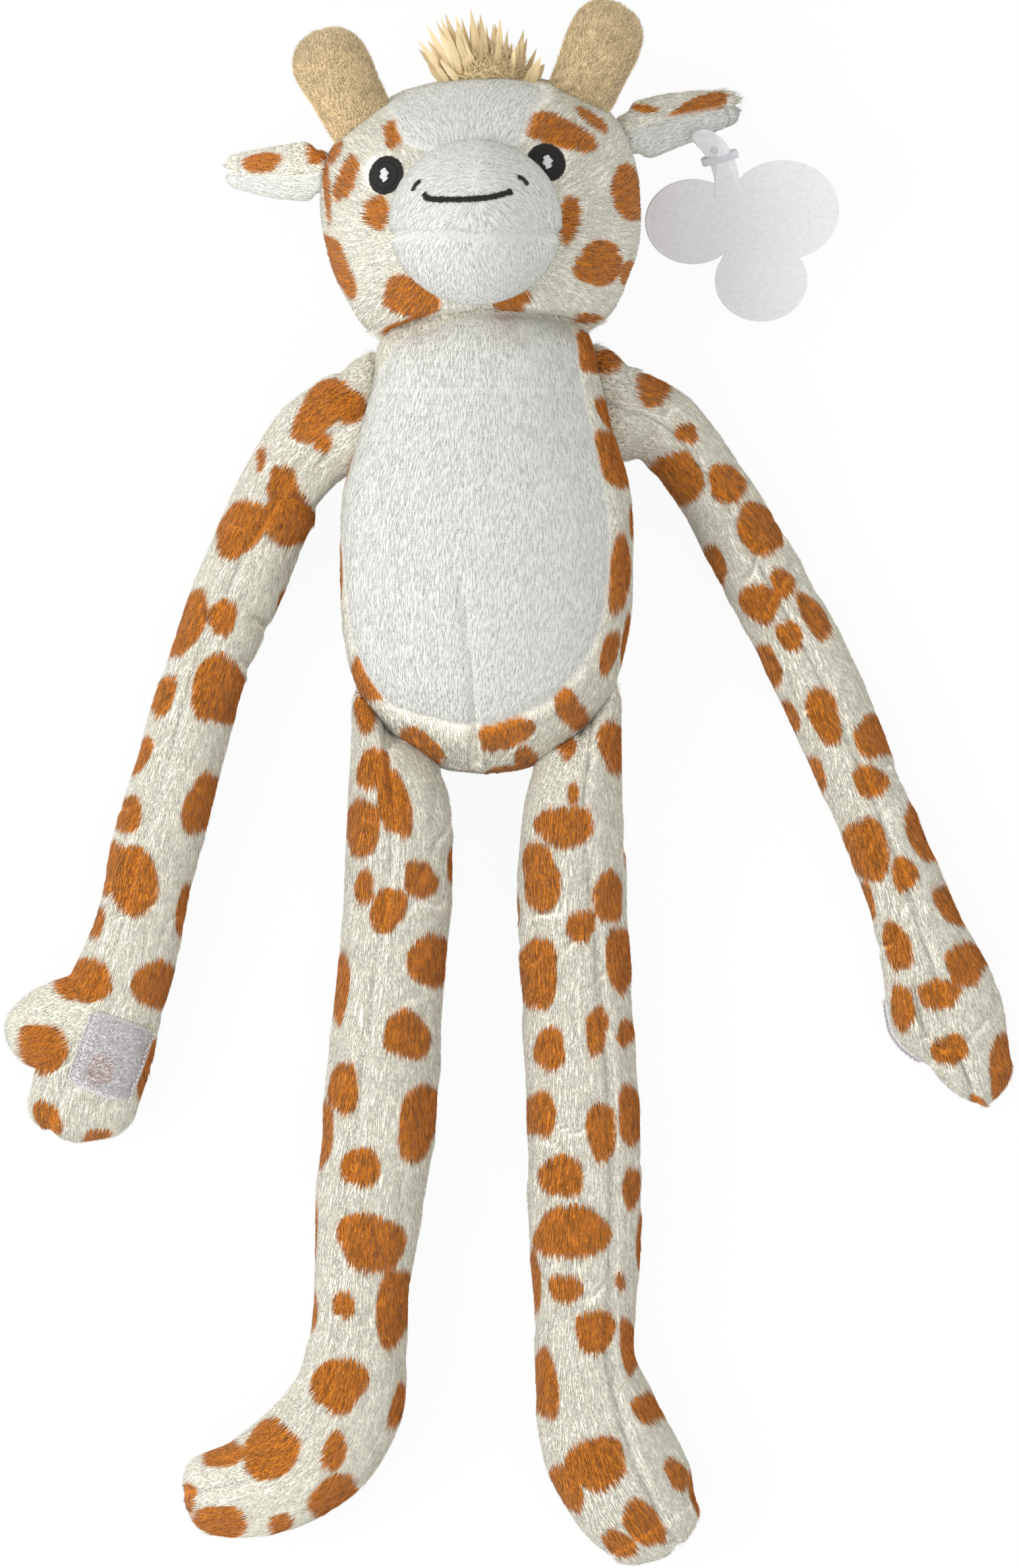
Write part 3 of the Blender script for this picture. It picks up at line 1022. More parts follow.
def lock(root, tip, half, toward):
    """One lock of the tuft: flat, widest below its middle and drawn out to a point."""
    way = unit(tip - root)
    side = unit(np.cross(way, toward))
    rise = np.cross(side, way)
    rings = []
    for share, wide in ((0.0, 0.0), (0.01, 0.5), (0.35, 0.9), (0.6, 1.0), (0.8, 0.62), (1.0, 0.0)):
        middle = root + share * (tip - root)
        rings.append([middle + half * wide * turn for turn in (side, 0.10 * rise, -side, -0.10 * rise)])
    return closed_grid("lock", np.array(rings))


def joined(name, parts):
    """Many small closed skins as one mesh."""
    points, faces, start = [], [], 0
    for part in parts:
        points.append(points_of(part))
        faces += [tuple(start + corner for corner in face.vertices) for face in part.polygons]
        start += len(points[-1])
        bpy.data.meshes.remove(part)
    mesh = bpy.data.meshes.new(name)
    mesh.from_pydata(np.concatenate(points), [], faces)
    return mesh


def sew_hair():
    """The tuft: a low furry mound with a fan of flat pointed locks."""
    turns = np.linspace(0, math.pi, 24)
    angle = 2 * math.pi * np.arange(36) / 36
    rings = np.zeros((len(turns), len(angle), 3))
    rings[..., 0] = np.sin(turns)[:, None] * np.cos(angle)
    rings[..., 1] = -np.cos(turns)[:, None]
    rings[..., 2] = -np.sin(turns)[:, None] * np.sin(angle)
    rings = rings * HAIR_HALF * 0.8 + np.array([0.0025, 0.0, 0.0])
    lean = np.array(Matrix.Rotation(-HEAD_LEAN, 3, "Z"))
    rings = (rings + HAIR - HEAD) @ lean.T + HEAD
    mesh = closed_grid("hair_tuft_mound", rings)
    points, normals = points_of(mesh), normals_of(mesh)
    out = (points - HEAD) @ lean
    crown = np.clip((out[:, 1] + HEAD[1] - HAIR[1] + 0.004) / 0.006, 0, 1)
    tint = np.array(STRAW) * (1 + 0.10 * ripple(points, 0.004, 81))[:, None]
    painted(mesh, tint, normals, crown * 0.5)
    dressed("hair_tuft_plush", mesh, "head", "pale_hair", ["hair_tuft"], 82, HAIR_FIBRE, length=0.0085, width=0.0005,
            lie=0.0, stray=0.35, swirl=0.6, strands_per_m2=2.2e6)
    draw = np.random.default_rng(93)
    locks, tints = [], []
    for x, y in LOCK_TIPS:
        for index in range(5):
            share = 1.0 if index == 0 else draw.uniform(0.55, 0.95)
            spread = 0.0 if index == 0 else 1.6
            root = np.array([0.50 * x + 1.5 + draw.normal(0, spread), 0.0, 43 + draw.uniform(-6, 5)])
            root[1] = 139.5 - 0.12 * root[0]
            tip = np.array([x + draw.normal(0, spread), y + draw.normal(0, 0.4 * spread), root[2] + draw.uniform(-2, 5)])
            tip = root + share * (tip - root)
            toward = unit(np.array([draw.normal(0, 0.35), draw.normal(0, 0.35), 1.0]))
            locks.append(lock(root * MM, tip * MM, draw.uniform(0.9, 1.5) * MM, toward))
            pale = draw.uniform(0.76, 0.98) * (0.86 + 0.18 * min(abs(x) / 12, 1))
            tints += [np.array(STRAW) * (pale, pale**1.25, pale**1.6)] * len(locks[-1].vertices)
    mesh = joined("hair_tuft_locks", locks)
    coloured(mesh, "tint", np.array(tints), np.ones(len(tints)))
    put("hair_tuft_locks", mesh, HAIR_FIBRE, "head")
    mesh.polygons.foreach_set("use_smooth", [False] * len(mesh.polygons))


def sew_ear(name, at, reach, degrees, spots, upward, seed, ragged):
    """A soft ear: the spotted leaf above its seam and the white lining below it."""
    heading = math.radians(degrees)
    rings, from_seam, lay, _ = limb_rings(at, EAR_Z, reach, heading, EAR_SIZES, EAR_SHARES, settle=EAR_SETTLE)
    mesh = closed_grid(name + "_plush", rings)
    points, normals = points_of(mesh), normals_of(mesh)
    signed = by_point(from_seam) / MM * upward
    groove = np.exp(-((signed / 1.0) ** 2))
    points += normals * ((0.3 * ripple(points, 0.014, seed) - 0.8 * groove) * MM)[:, None]
    moved(mesh, points)
    lined = np.clip(0.5 - signed / 0.7, 0, 1)
    way = np.array([math.sin(heading), -math.cos(heading), 0.0])
    outward = (points - np.array([*at, EAR_Z])) @ way / reach
    shaggy = ragged * np.clip((outward - 0.72) / 0.3, 0, 1)
    pile = 0.85 * (1 - lined) + shaggy
    painted(mesh, mixed(CREAM, WHITE, lined), by_point(lay), pile, spots, 1 - lined)
    dressed(name + "_plush", mesh, name, "spotted_plush", [name + "_leaf", name + "_lining"], seed, spots=spots, nap=lined)


def thread_material(name, colour, rough):
    """Twisted embroidery thread: fine slanting ridges and a soft gloss."""
    material = bpy.data.materials.new(name)
    material.use_nodes = True
    nodes, links = material.node_tree.nodes, material.node_tree.links
    shader = nodes["Principled BSDF"]
    shader.inputs["Roughness"].default_value = rough
    shader.inputs["Specular IOR Level"].default_value = 0.25
    place = nodes.new("ShaderNodeTexCoord")
    twist = nodes.new("ShaderNodeTexWave")
    twist.inputs["Scale"].default_value = 1500.0
    twist.inputs["Distortion"].default_value = 2.0
    links.new(place.outputs["Object"], twist.inputs["Vector"])
    ramp = nodes.new("ShaderNodeValToRGB")
    ramp.color_ramp.elements[0].color = (*[0.6 * channel for channel in colour], 1)
    ramp.color_ramp.elements[1].color = (*colour, 1)
    links.new(twist.outputs["Fac"], ramp.inputs["Fac"])
    links.new(ramp.outputs["Color"], shader.inputs["Base Color"])
    bump = nodes.new("ShaderNodeBump")
    bump.inputs["Strength"].default_value = 0.4
    bump.inputs["Distance"].default_value = 0.0001
    links.new(twist.outputs["Fac"], bump.inputs["Height"])
    links.new(bump.outputs["Normal"], shader.inputs["Normal"])
    return material


def stitch_tree():
    """Lays one thread across each point of a line, side by side."""
    tree = bpy.data.node_groups.new("satin_stitches", "GeometryNodeTree")
    tree.is_modifier = True
    face = tree.interface
    face.new_socket("Geometry", in_out="INPUT", socket_type="NodeSocketGeometry")
    for word, value in (("Stitch Length", 0.0014), ("Thread Width", 0.0003), ("Unevenness", 0.2)):
        face.new_socket(word, in_out="INPUT", socket_type="NodeSocketFloat").default_value = value
    face.new_socket("Seed", in_out="INPUT", socket_type="NodeSocketInt")
    face.new_socket("Finish", in_out="INPUT", socket_type="NodeSocketMaterial")
    face.new_socket("Geometry", in_out="OUTPUT", socket_type="NodeSocketGeometry")
    new, link = tree.nodes.new, tree.links.new
    given, made = new("NodeGroupInput"), new("NodeGroupOutput")
    to_points = new("GeometryNodeMeshToPoints")
    link(given.outputs["Geometry"], to_points.inputs["Mesh"])
    turns = []
    for name, axis in (("across", "X"), ("rise", "Z")):
        read = new("GeometryNodeInputNamedAttribute")
        read.data_type = "FLOAT_VECTOR"
        read.inputs["Name"].default_value = name
        aim = new("FunctionNodeAlignRotationToVector")
        aim.axis = axis
        link(read.outputs["Attribute"], aim.inputs["Vector"])
        turns.append(aim)
    turns[1].pivot_axis = "X"
    link(turns[0].outputs["Rotation"], turns[1].inputs["Rotation"])
    uneven = new("ShaderNodeMath")
    uneven.operation = "SUBTRACT"
    uneven.inputs[0].default_value = 1.0
    link(given.outputs["Unevenness"], uneven.inputs[1])
    vary = new("FunctionNodeRandomValue")
    vary.data_type = "FLOAT"
    link(uneven.outputs["Value"], vary.inputs[2])
    vary.inputs[3].default_value = 1.0
    link(given.outputs["Seed"], vary.inputs["Seed"])
    share = new("ShaderNodeVectorMath")
    share.operation = "LENGTH"
    link(turns[0].inputs["Vector"].links[0].from_socket, share.inputs[0])
    full = new("ShaderNodeMath")
    full.operation = "MULTIPLY"
    link(given.outputs["Stitch Length"], full.inputs[0])
    link(share.outputs["Value"], full.inputs[1])
    long = new("ShaderNodeMath")
    long.operation = "MULTIPLY"
    link(full.outputs["Value"], long.inputs[0])
    link(vary.outputs[1], long.inputs[1])
    size = new("ShaderNodeCombineXYZ")
    link(long.outputs["Value"], size.inputs["X"])
    link(given.outputs["Thread Width"], size.inputs["Y"])
    link(given.outputs["Thread Width"], size.inputs["Z"])
    strand = new("GeometryNodeMeshUVSphere")
    strand.inputs["Segments"].default_value = 6
    strand.inputs["Rings"].default_value = 6
    strand.inputs["Radius"].default_value = 0.5
    lie = new("GeometryNodeTransform")
    lie.inputs["Rotation"].default_value = (0, math.pi / 2, 0)
    link(strand.outputs["Mesh"], lie.inputs["Geometry"])
    plant = new("GeometryNodeInstanceOnPoints")
    link(to_points.outputs["Points"], plant.inputs["Points"])
    link(lie.outputs["Geometry"], plant.inputs["Instance"])
    link(turns[1].outputs["Rotation"], plant.inputs["Rotation"])
    link(size.outputs["Vector"], plant.inputs["Scale"])
    real = new("GeometryNodeRealizeInstances")
    link(plant.outputs["Instances"], real.inputs["Geometry"])
    finish = new("GeometryNodeSetMaterial")
    link(real.outputs["Geometry"], finish.inputs["Geometry"])
    link(given.outputs["Finish"], finish.inputs["Material"])
    link(finish.outputs["Geometry"], made.inputs["Geometry"])
    return tree


def stitched(name, rows, material, body, nodes, seed, length, width, unevenness=0.2):
    """Threads laid across the given places: each row is a place, a direction across and a direction out."""
    places, across, rise = (np.array(column) for column in zip(*rows))
    line = bpy.data.meshes.new(name + "_line")
    line.from_pydata(places, [], [])
    for word, ways in (("across", across), ("rise", rise)):
        line.attributes.new(word, "FLOAT_VECTOR", "POINT").data.foreach_set("vector", ways.astype(np.float32).ravel())
    host = bpy.data.objects.new(name + "_host", line)
    bpy.context.scene.collection.objects.link(host)
    modifier = host.modifiers.new("stitches", "NODES")
    modifier.node_group = STITCH_TREE
    for word, value in (
        ("Stitch Length", length),
        ("Thread Width", width),
        ("Unevenness", unevenness),
        ("Seed", seed),
        ("Finish", material),
    ):
        set_input(modifier, word, value)
    piece = put(name, made_plain(host, modifier, name), material, body)
    if nodes:
        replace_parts(piece, *nodes)
    return piece


def embroider_line(name, surface, line, material, body, nodes, seed, length, width):
    """A line of satin stitch along a path seen from the front, in millimetres."""
    path = evenly(np.array(line) * MM, [0, 1], width * 0.62)
    ways = unit(np.gradient(path, axis=0))
    rows = []
    for (x, y), way in zip(path, ways):
        place, normal = above(surface, x, y)
        across = np.array([-way[1], way[0], 0.0])
        rows.append((place + normal * width * 1.1, unit(across - normal * (across @ normal)), normal))
    stitched(name, rows, material, body, nodes, seed, length, width, 0.35)


def embroider_eye(side_name, surface):
    """A round eye in black satin stitch, sewn from its middle outwards, with a white glint."""
    x, y = EYE_PLACES[side_name]
    middle, normal = above(surface, x, y)
    right = unit(np.array([1.0, 0.0, 0.0]) - normal * normal[0])
    up = np.cross(normal, right)
    black, white = [], []

    def rest_on(u, v, lift):
        start = middle + right * u + up * v + normal * 0.01
        place, slope, _, _ = surface.ray_cast(Vector(start), Vector(-normal))
        return np.array(place) + np.array(slope) * lift, np.array(slope)

    for share, lift in ((0.30, 0.00045), (0.58, 0.00050), (0.86, 0.00035)):
        count = int(2 * math.pi * share * EYE_HALF[0] / (THREAD_WIDTH * 0.62))
        for index in range(count):
            angle = 2 * math.pi * (index + share) / count
            u, v = EYE_HALF[0] * share * math.cos(angle), EYE_HALF[1] * share * math.sin(angle)
            place, slope = rest_on(u, v, lift)
            out = right * math.cos(angle) + up * math.sin(angle)
            black.append((place, unit(out - slope * (out @ slope)), slope))
    stitched(side_name + "_eye_stitches", black, BLACK_THREAD, "head", [side_name + "_eye"],
             int(1e4 * abs(x)), 0.34 * (EYE_HALF[0] + EYE_HALF[1]) / 2 * 1.35, THREAD_WIDTH, 0.3)
    for v in np.arange(-1, 1.001, THREAD_WIDTH * 0.62 / GLINT_HALF[1]):
        reach = math.sqrt(max(1 - v * v, 0.08))
        place, slope = rest_on(0.0003 * math.sin(7 * v), v * GLINT_HALF[1], 0.00085)
        white.append((place, right * reach, slope))
    stitched(side_name + "_eye_glint", white, WHITE_THREAD, "head", [side_name + "_eye_highlight"],
             7, 2 * GLINT_HALF[0], THREAD_WIDTH, 0.2)


def sew_thumb():
    """The right hand's blunt thumb, which stands out of the side of the palm."""
    start = np.array([-0.1152, -0.1392, 0.0])
    way = unit(np.array([-0.955, -0.297, 0.0]))
    side = np.array([-way[1], way[0], 0.0])
    rows = [(-0.006, 0.0, 0.0), (-0.0058, 0.004, 0.004), (0.0, 0.0125, 0.0095), (0.010, 0.0132, 0.0098)]
    rows += [(0.019, 0.0125, 0.0092), (0.0255, 0.0100, 0.0078), (0.0295, 0.0060, 0.0052), (0.031, 0.0, 0.0)]
    reach, wide, deep = evenly(rows, [0, 1], SKIN_STEP).T
    wide[0] = wide[-1] = deep[0] = deep[-1] = 0
    wide, deep = np.maximum(wide, 0), np.maximum(deep, 0)
    sides = int(2 * math.pi * wide.max() / SKIN_STEP)
    angle = 2 * math.pi * np.arange(sides) / sides
    rings = start + (way * reach[:, None])[:, None] + (wide[:, None] * np.sin(angle))[..., None] * side
    rings[..., 2] += deep.max() - FLAT_DEPTH + 0.0005 - deep[:, None] * np.cos(angle)
    mesh = closed_grid("right_thumb_plush", rings)
    points, normals = points_of(mesh), normals_of(mesh)
    points += normals * (0.4 * ripple(points, 0.016, 43) * MM)[:, None]
    points[:, 2] = np.maximum(points[:, 2], 0.0002)
    moved(mesh, points)
    pile = np.where(points[:, 2] < 0.001, 0.35, 1.0)
    painted(mesh, np.tile(CREAM, (len(points), 1)), np.tile(way, (len(points), 1)), pile, RIGHT_ARM_SPOTS)
    dressed("right_thumb_plush", mesh, "right_arm", "spotted_plush", [], 45, spots=RIGHT_ARM_SPOTS)


def tape_material():
    """Milky nylon tape, with the weave that carries its hooks or loops."""
    material = bpy.data.materials.new("nylon_tape")
    material.use_nodes = True
    nodes, links = material.node_tree.nodes, material.node_tree.links
    shader = nodes["Principled BSDF"]
    shader.inputs["Roughness"].default_value = 0.45
    shader.inputs["Specular IOR Level"].default_value = 0.4
    place = nodes.new("ShaderNodeTexCoord")
    weave = nodes.new("ShaderNodeTexNoise")
    weave.inputs["Scale"].default_value = 900.0
    links.new(place.outputs["Object"], weave.inputs["Vector"])
    ramp = nodes.new("ShaderNodeValToRGB")
    ramp.color_ramp.elements[0].position, ramp.color_ramp.elements[1].position = 0.35, 0.65
    ramp.color_ramp.elements[0].color = (*TAPE_SHADE, 1)
    ramp.color_ramp.elements[1].color = (*TAPE, 1)
    links.new(weave.outputs["Fac"], ramp.inputs["Fac"])
    links.new(ramp.outputs["Color"], shader.inputs["Base Color"])
    bump = nodes.new("ShaderNodeBump")
    bump.inputs["Strength"].default_value = 0.5
    bump.inputs["Distance"].default_value = 0.0002
    links.new(weave.outputs["Fac"], bump.inputs["Height"])
    links.new(bump.outputs["Normal"], shader.inputs["Normal"])
    return material


def sew_patch(name, surface, middle, across, along, inward, half, body, seed, per_m2, length):
    """A patch of tape with rounded corners that follows the palm, its pile, and its two rows of stitches."""
    steps = 26
    share = np.linspace(-1, 1, steps)
    top = np.zeros((steps, steps, 3))
    slopes = np.zeros((steps, steps, 3))
    for row, v in enumerate(share):
        for column, u in enumerate(share):
            pull = 1 - PATCH_CORNER * (u * v) ** 4
            spot = middle + across * (u * half[0] * pull) + along * (v * half[1] * pull)
            place, slope, _, _ = surface.ray_cast(Vector(spot - inward * 0.05), Vector(inward))
            top[row, column], slopes[row, column] = place, slope
    lift = 0.0013 - 0.0006 * np.maximum(np.abs(share[:, None]), np.abs(share)) ** 8
    upper = top + slopes * lift[..., None]
    lower = top - slopes * 0.0006
    points = np.concatenate([upper.reshape(-1, 3), lower.reshape(-1, 3)])
    faces, whole = [], steps * steps
    for row in range(steps - 1):
        for column in range(steps - 1):
            at = row * steps + column
            corners = (at, at + 1, at + steps + 1, at + steps)
            faces.append(corners)
            faces.append(tuple(whole + corner for corner in reversed(corners)))
    rim = [(0, c) for c in range(steps - 1)] + [(r, steps - 1) for r in range(steps - 1)]
    rim += [(steps - 1, c) for c in range(steps - 1, 0, -1)] + [(r, 0) for r in range(steps - 1, 0, -1)]
    rim = [row * steps + column for row, column in rim]
    for low, high in zip(rim, rim[1:] + rim[:1]):
        faces.append((high, low, low + whole, high + whole))
    mesh = bpy.data.meshes.new(name)
    mesh.from_pydata(points, [], faces)
    layer = mesh.uv_layers.new(name="skin_uv")
    flat = np.tile(np.stack(np.meshgrid(share, share), axis=-1).reshape(-1, 2) / 2 + 0.5, (2, 1))
    corners = np.array([loop.vertex_index for loop in mesh.loops])
    layer.uv.foreach_set("vector", flat[corners].astype(np.float32).ravel())
    mesh.update()
    if (normals_of(mesh)[: whole] * slopes.reshape(-1, 3)).sum() < 0:
        mesh.flip_normals()
    inside = (np.maximum(np.abs(share[:, None]), np.abs(share)) < 0.94).astype(float).ravel()
    tint = np.tile(TAPE, (len(points), 1)) * (1 + 0.05 * ripple(points, 0.004, seed))[:, None]
    painted(mesh, tint, np.tile(along, (len(points), 1)), np.concatenate([inside, 0 * inside]), (), np.full(len(points), 0.4))
    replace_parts(put(name + "_tape", mesh, NYLON, body), name)
    under = RIGHT_ARM_SPOTS if body == "right_arm" else ()
    grow_pile(name + "_pile", mesh, TAPE_FIBRE, body, "hook_tape", seed, under, strands_per_m2=per_m2,
              length=length, width=0.00034, lie=0.5, stray=0.5, flatness=1.0)
    for side, u in (("first", -0.88), ("second", 0.88)):
        rows = []
        for v in np.linspace(-0.9, 0.9, int(half[1] * 1.8 / 0.0013)):
            spot = middle + across * (u * half[0]) + along * (v * half[1])
            place, slope, _, _ = surface.ray_cast(Vector(spot - inward * 0.05), Vector(inward))
            rows.append((np.array(place) + np.array(slope) * 0.0017, along, np.array(slope)))
        stitched(f"{name}_{side}_seam", rows, WHITE_THREAD, body, [], seed, 0.0012, 0.0005)


def card_material():
    """Pale grey card, with the faint grain and specks of uncoated board."""
    material = bpy.data.materials.new("blank_card")
    material.use_nodes = True
    nodes, links = material.node_tree.nodes, material.node_tree.links
    shader = nodes["Principled BSDF"]
    shader.inputs["Roughness"].default_value = 0.7
    shader.inputs["Specular IOR Level"].default_value = 0.3
    place = nodes.new("ShaderNodeTexCoord")
    grain = nodes.new("ShaderNodeTexNoise")
    grain.inputs["Scale"].default_value = 700.0
    grain.inputs["Detail"].default_value = 6.0
    links.new(place.outputs["Object"], grain.inputs["Vector"])
    ramp = nodes.new("ShaderNodeValToRGB")
    ramp.color_ramp.elements[0].position, ramp.color_ramp.elements[1].position = 0.30, 0.62
    ramp.color_ramp.elements[0].color = (*[0.93 * channel for channel in CARD], 1)
    ramp.color_ramp.elements[1].color = (*CARD, 1)
    links.new(grain.outputs["Fac"], ramp.inputs["Fac"])
    links.new(ramp.outputs["Color"], shader.inputs["Base Color"])
    bump = nodes.new("ShaderNodeBump")
    bump.inputs["Strength"].default_value = 0.25
    bump.inputs["Distance"].default_value = 0.0001
    links.new(grain.outputs["Fac"], bump.inputs["Height"])
    links.new(bump.outputs["Normal"], shader.inputs["Normal"])
    return material


def clear_material():
    """Clear plastic that has a milky look where it is thick."""
    material = bpy.data.materials.new("clear_plastic")
    material.use_nodes = True
    nodes, links = material.node_tree.nodes, material.node_tree.links
    shader = nodes["Principled BSDF"]
    shader.inputs["Roughness"].default_value = 0.22
    shader.inputs["IOR"].default_value = 1.46
    shader.inputs["Transmission Weight"].default_value = 0.35
    place = nodes.new("ShaderNodeTexCoord")
    cloud = nodes.new("ShaderNodeTexNoise")
    cloud.inputs["Scale"].default_value = 300.0
    links.new(place.outputs["Object"], cloud.inputs["Vector"])
    ramp = nodes.new("ShaderNodeValToRGB")
    ramp.color_ramp.elements[0].color = (0.78, 0.78, 0.84, 1)
    ramp.color_ramp.elements[1].color = (0.90, 0.90, 0.95, 1)
    links.new(cloud.outputs["Fac"], ramp.inputs["Fac"])
    links.new(ramp.outputs["Color"], shader.inputs["Base Color"])
    return material


def on_tag(u, v, lift):
    """A place on the leaning card, from the hinge: across, up the card, and out of its face."""
    rise, drop = math.sin(TAG_LEAN), math.cos(TAG_LEAN)
    u, v, lift = np.broadcast_arrays(u, v, lift)
    return TAG_HINGE + np.stack([u, v * drop - lift * rise, v * rise + lift * drop], axis=-1)


def card_outline(count):
    """The edge of three overlapping discs, as seen from the middle of the card."""
    angle = 2 * math.pi * np.arange(count) / count
    way = np.stack([np.cos(angle), np.sin(angle)], axis=1)
    reach = np.zeros(count)
    for x, y, size in TAG_DISCS:
        along = way @ np.array([x, y])
        inside = along**2 - (x * x + y * y - size * size)
        far = along + np.sqrt(np.maximum(inside, 0))
        reach = np.maximum(reach, np.where(inside > 0, far, 0))
    softened = (np.roll(reach, 1) + 2 * reach + np.roll(reach, -1)) / 4
    return way * softened[:, None] * TAG_SIZE


def plate(name, loops, material, nodes, body="tag"):
    """A closed plate from matching loops of points, the first at its back and the last on its face."""
    count = len(loops[0])
    points = np.concatenate(loops)
    faces = [tuple(range(count))[::-1], tuple(range(len(points) - count, len(points)))]
    for level in range(len(loops) - 1):
        for index in range(count):
            after = (index + 1) % count
            low, high = level * count, (level + 1) * count
            faces.append((low + index, low + after, high + after, high + index))
    mesh = bpy.data.meshes.new(name)
    mesh.from_pydata(points, [], faces)
    mesh.update()
    piece = put(name, mesh, material, body)
    mesh.polygons.foreach_set("use_smooth", [False] * len(mesh.polygons))
    if nodes:
        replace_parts(piece, *nodes)
    return piece


def cut_tag():
    outline = card_outline(480)
    loops = []
    for inset, lift in ((0.00015, 0.0), (0.0, 0.00012), (0.0, 0.00048), (0.00018, 0.00062), (0.0008, 0.00064), (0.0011, 0.00056)):
        shrink = 1 - inset / np.linalg.norm(outline, axis=1, keepdims=True)
        edge = outline * shrink + TAG_MIDDLE
        loops.append(on_tag(edge[:, 0], edge[:, 1], lift))
    plate("tag_card_board", loops, CARD_BOARD, ["tag_card"])

    rows = [(0.0079, -0.0212), (0.0077, -0.0165), (0.0070, -0.0120), (0.0057, -0.0080), (0.0035, -0.0040), (0.0008, -0.0006)]
    middle = evenly(rows, [0, 1], 0.0006)
    way = unit(np.gradient(middle, axis=0))
    side = np.stack([way[:, 1], -way[:, 0]], axis=1)
    left, right = middle - side * STRAP_HALF, middle + side * STRAP_HALF
    turn = np.linspace(0, math.pi, 18)[1:-1, None]
    end = middle[-1] + STRAP_HALF * (side[-1] * np.cos(turn) + way[-1] * np.sin(turn))
    edge = np.concatenate([right, end, left[::-1]])
    centre = edge.mean(axis=0)
    loops = []
    for inset, lift in ((0.0001, 0.0001), (0.0, 0.0002), (0.0, 0.00060), (0.0002, 0.00072)):
        inner = edge + (centre - edge) * inset / np.linalg.norm(edge - centre, axis=1, keepdims=True)
        over = np.clip((inner[:, 1] + 0.0042) / 0.0042, 0, 1.6) ** 2 * STRAP_RISE
        loops.append(on_tag(inner[:, 0], inner[:, 1], lift + over))
    plate("tag_strap", loops, CARD_BOARD, [])


def mould_clip():
    """The clear bar that the strap runs through, and the stud above it."""
    way = unit(np.array([0.957, 0.289]))
    up = np.array([-way[1], way[0]])
    middle = np.array([CLIP_PLACE[0], CLIP_PLACE[1]])
    round_loop = np.linspace(0, 2 * math.pi, 40, endpoint=False)
    section = np.linspace(0, 2 * math.pi, 12, endpoint=False)
    rings = []
    for angle in round_loop:
        c, s = math.cos(angle), math.sin(angle)
        wide = math.copysign(abs(c) ** 0.35, c) * 0.0054
        high = math.copysign(abs(s) ** 0.6, s) * 0.00095
        outward = unit(np.array([c * 0.4, s]))
        ring = []
        for turn in section:
            along = math.copysign(abs(math.cos(turn)) ** 0.5, math.cos(turn)) * CLIP_HALF
            out = math.copysign(abs(math.sin(turn)) ** 0.7, math.sin(turn)) * 0.00038
            u, v = middle + way * (wide + out * outward[0]) + up * along
            ring.append(on_tag(u, v, CARD_THICKNESS / 2 + high + out * outward[1]))
        rings.append(ring)
    points = np.array(rings).reshape(-1, 3)
    count, faces = len(section), []
    for ring in range(len(round_loop)):
        for index in range(count):
            after, beyond = (index + 1) % count, (ring + 1) % len(round_loop)
            faces.append((ring * count + index, ring * count + after, beyond * count + after, beyond * count + index))
    mesh = bpy.data.meshes.new("tag_clip_band")
    mesh.from_pydata(points, [], faces)
    work = bmesh.new()
    work.from_mesh(mesh)
    bmesh.ops.recalc_face_normals(work, faces=work.faces)
    work.to_mesh(mesh)
    work.free()
    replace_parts(put("tag_clip_band", mesh, CLEAR_PLASTIC, "tag"), "tag_clip")
    angle = np.linspace(0, 2 * math.pi, 24, endpoint=False)
    loops = []
    for radius, lift in ((0.00125, 0.0007), (0.0013, 0.0013), (0.00115, 0.0017), (0.0008, 0.00185), (0.00075, 0.00165), (0.0004, 0.0016)):
        loops.append(on_tag(STUD_PLACE[0] + radius * np.cos(angle), STUD_PLACE[1] + radius * np.sin(angle), lift))
    plate("tag_stud_head", loops, CLEAR_PLASTIC, ["tag_stud"])


STITCH_TREE = stitch_tree()
BLACK_THREAD = thread_material("black_thread", (0.022, 0.020, 0.018), 0.5)
WHITE_THREAD = thread_material("white_thread", (0.86, 0.86, 0.88), 0.5)
NYLON = tape_material()
TAPE_FIBRE = pile_material("tape_fibre", 0.4, 0.0, 0.9)
CARD_BOARD = card_material()
CLEAR_PLASTIC = clear_material()


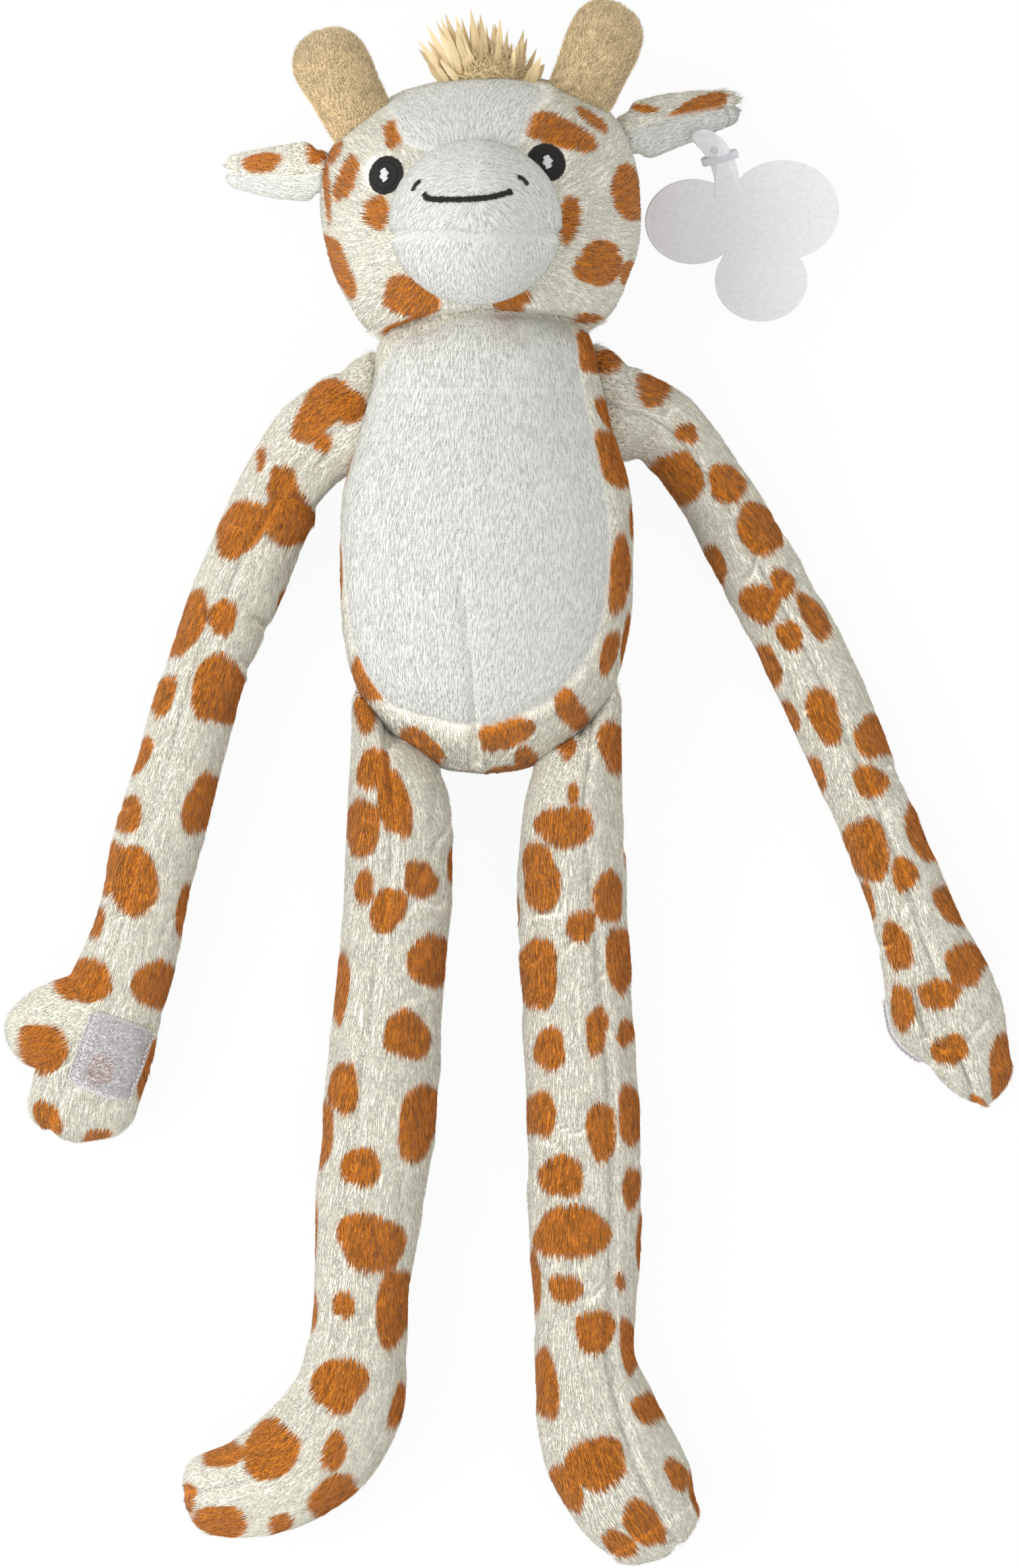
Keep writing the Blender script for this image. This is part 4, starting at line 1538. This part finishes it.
def lay_out_studio():
    """A pale floor, soft light and a camera straight above the toy."""
    scene = bpy.context.scene
    scene.view_settings.view_transform = "Standard"
    world = bpy.data.worlds.new("studio")
    scene.world = world
    world.use_nodes = True
    nodes, links = world.node_tree.nodes, world.node_tree.links
    sky = nodes["Background"]
    sky.inputs["Color"].default_value = (1, 1, 1, 1)
    sky.inputs["Strength"].default_value = 0.88
    seen = nodes.new("ShaderNodeBackground")
    seen.inputs["Strength"].default_value = 1.0
    path, pick = nodes.new("ShaderNodeLightPath"), nodes.new("ShaderNodeMixShader")
    links.new(path.outputs["Is Camera Ray"], pick.inputs["Fac"])
    links.new(sky.outputs["Background"], pick.inputs[1])
    links.new(seen.outputs["Background"], pick.inputs[2])
    links.new(pick.outputs["Shader"], nodes["World Output"].inputs["Surface"])

    mesh = bpy.data.meshes.new("table_top")
    size = 3.0
    mesh.from_pydata([(-size, -size, 0), (size, -size, 0), (size, size, 0), (-size, size, 0)], [], [(0, 1, 2, 3)])
    mesh.transform(Matrix.Translation((0, 0, -0.0004)))
    floor = bpy.data.objects.new("table_top", mesh)
    scene.collection.objects.link(floor)
    material = bpy.data.materials.new("pale_table")
    material.use_nodes = True
    nodes, links = material.node_tree.nodes, material.node_tree.links
    plain = nodes["Principled BSDF"]
    plain.inputs["Base Color"].default_value = (0.92, 0.92, 0.92, 1)
    plain.inputs["Roughness"].default_value = 0.9
    glow = nodes.new("ShaderNodeEmission")
    path, pick = nodes.new("ShaderNodeLightPath"), nodes.new("ShaderNodeMixShader")
    half = nodes.new("ShaderNodeMath")
    half.operation = "MULTIPLY"
    half.inputs[1].default_value = 0.93
    links.new(path.outputs["Is Camera Ray"], half.inputs[0])
    links.new(half.outputs["Value"], pick.inputs["Fac"])
    links.new(plain.outputs["BSDF"], pick.inputs[1])
    links.new(glow.outputs["Emission"], pick.inputs[2])
    links.new(pick.outputs["Shader"], nodes["Material Output"].inputs["Surface"])
    mesh.materials.append(material)

    for name, place, power, width in (("window", (-3.2, -0.4, 2.6), 105.0, 2.0), ("fill", (2.4, -1.4, 3.2), 14.0, 2.6)):
        lamp = bpy.data.lights.new(name, "AREA")
        lamp.energy, lamp.size = power, width
        obj = bpy.data.objects.new(name, lamp)
        obj.location = place
        obj.rotation_euler = (-Vector(place)).to_track_quat("-Z", "Y").to_euler()
        scene.collection.objects.link(obj)

    camera = bpy.data.cameras.new("camera")
    camera.lens = 36 * CAMERA_HEIGHT / FRAME_HEIGHT
    camera.clip_end = 2 * CAMERA_HEIGHT
    obj = bpy.data.objects.new("camera", camera)
    obj.location = (0.0072, -0.0702, CAMERA_HEIGHT + 0.020)
    scene.collection.objects.link(obj)
    scene.camera = obj


def main():
    sew_torso()
    head = sew_head()
    muzzle = sew_muzzle()
    right_arm = sew_limb("right_arm", (-0.0425, 0.0400), 0.0215, 0.230, -20.4, ARM_SIZES, RIGHT_ARM_SHARES, RIGHT_ARM_SPOTS, 41,
                         -1, shrugged, RIGHT_ARM_CREASES)
    left_arm = sew_limb("left_arm", (0.0420, 0.0420), 0.0215, 0.237, 27.4, ARM_SIZES, LEFT_ARM_SHARES, LEFT_ARM_SPOTS, 51,
                        1, shrugged, LEFT_ARM_CREASES)
    sew_limb("right_leg", (-0.0282, -0.0690), 0.0235, 0.196, -3.0, LEG_SIZES, RIGHT_LEG_SHARES, RIGHT_LEG_SPOTS, 61, -1, drawn_up)
    sew_limb("left_leg", (0.0286, -0.0680), 0.0235, 0.204, 0.0, LEG_SIZES, LEFT_LEG_SHARES, LEFT_LEG_SPOTS, 71, 1, drawn_up)
    sew_thumb()
    sew_horn("right_horn", (-0.0370, 0.1295), -28, 101)
    sew_horn("left_horn", (0.0280, 0.1368), 23, 111)
    sew_hair()
    sew_ear("right_ear", (-0.05107, 0.1155), 0.0290, -90, RIGHT_EAR_SPOTS, -1, 121, 0.0)
    sew_ear("left_ear", (0.04444, 0.12716), 0.0355, 106, LEFT_EAR_SPOTS, 1, 131, 1.2)
    for side in ("right", "left"):
        embroider_eye(side, head)
        embroider_line(side + "_nostril_stitches", muzzle, NOSTRIL_LINES[side], BLACK_THREAD, "head",
                       [side + "_nostril"], 141, 0.0023, THREAD_WIDTH)
    embroider_line("mouth_stitches", muzzle, MOUTH_LINE, BLACK_THREAD, "head", ["mouth"], 151,
                   0.0024, 0.0005)
    for name, body, surface, out in (("hook_patch", "right_arm", right_arm, (0, 0, 1)),
                                     ("loop_patch", "left_arm", left_arm, (-0.888, -0.46, 0))):
        low, high = (np.array(corner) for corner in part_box(name))
        middle = (low + high) / 2
        if name == "hook_patch":
            along = np.array([math.sin(math.radians(20)), math.cos(math.radians(20)), 0.0])
            across = np.array([along[1], -along[0], 0.0])
            half = (0.0101, 0.0121)
            rows = (6.5e6, 0.0007)
        else:
            along = unit(np.array([0.46, -0.888, 0.0]))
            across = np.array([0.0, 0.0, 1.0])
            half = (0.0046, 0.0110)
            middle[2] -= 0.0028
            rows = (9e6, 0.0005)
        inward = -unit(np.array(out, float))
        sew_patch(name, surface, middle, across, along, inward, half, body, 161, *rows)
    cut_tag()
    mould_clip()
    lay_out_studio()


main()
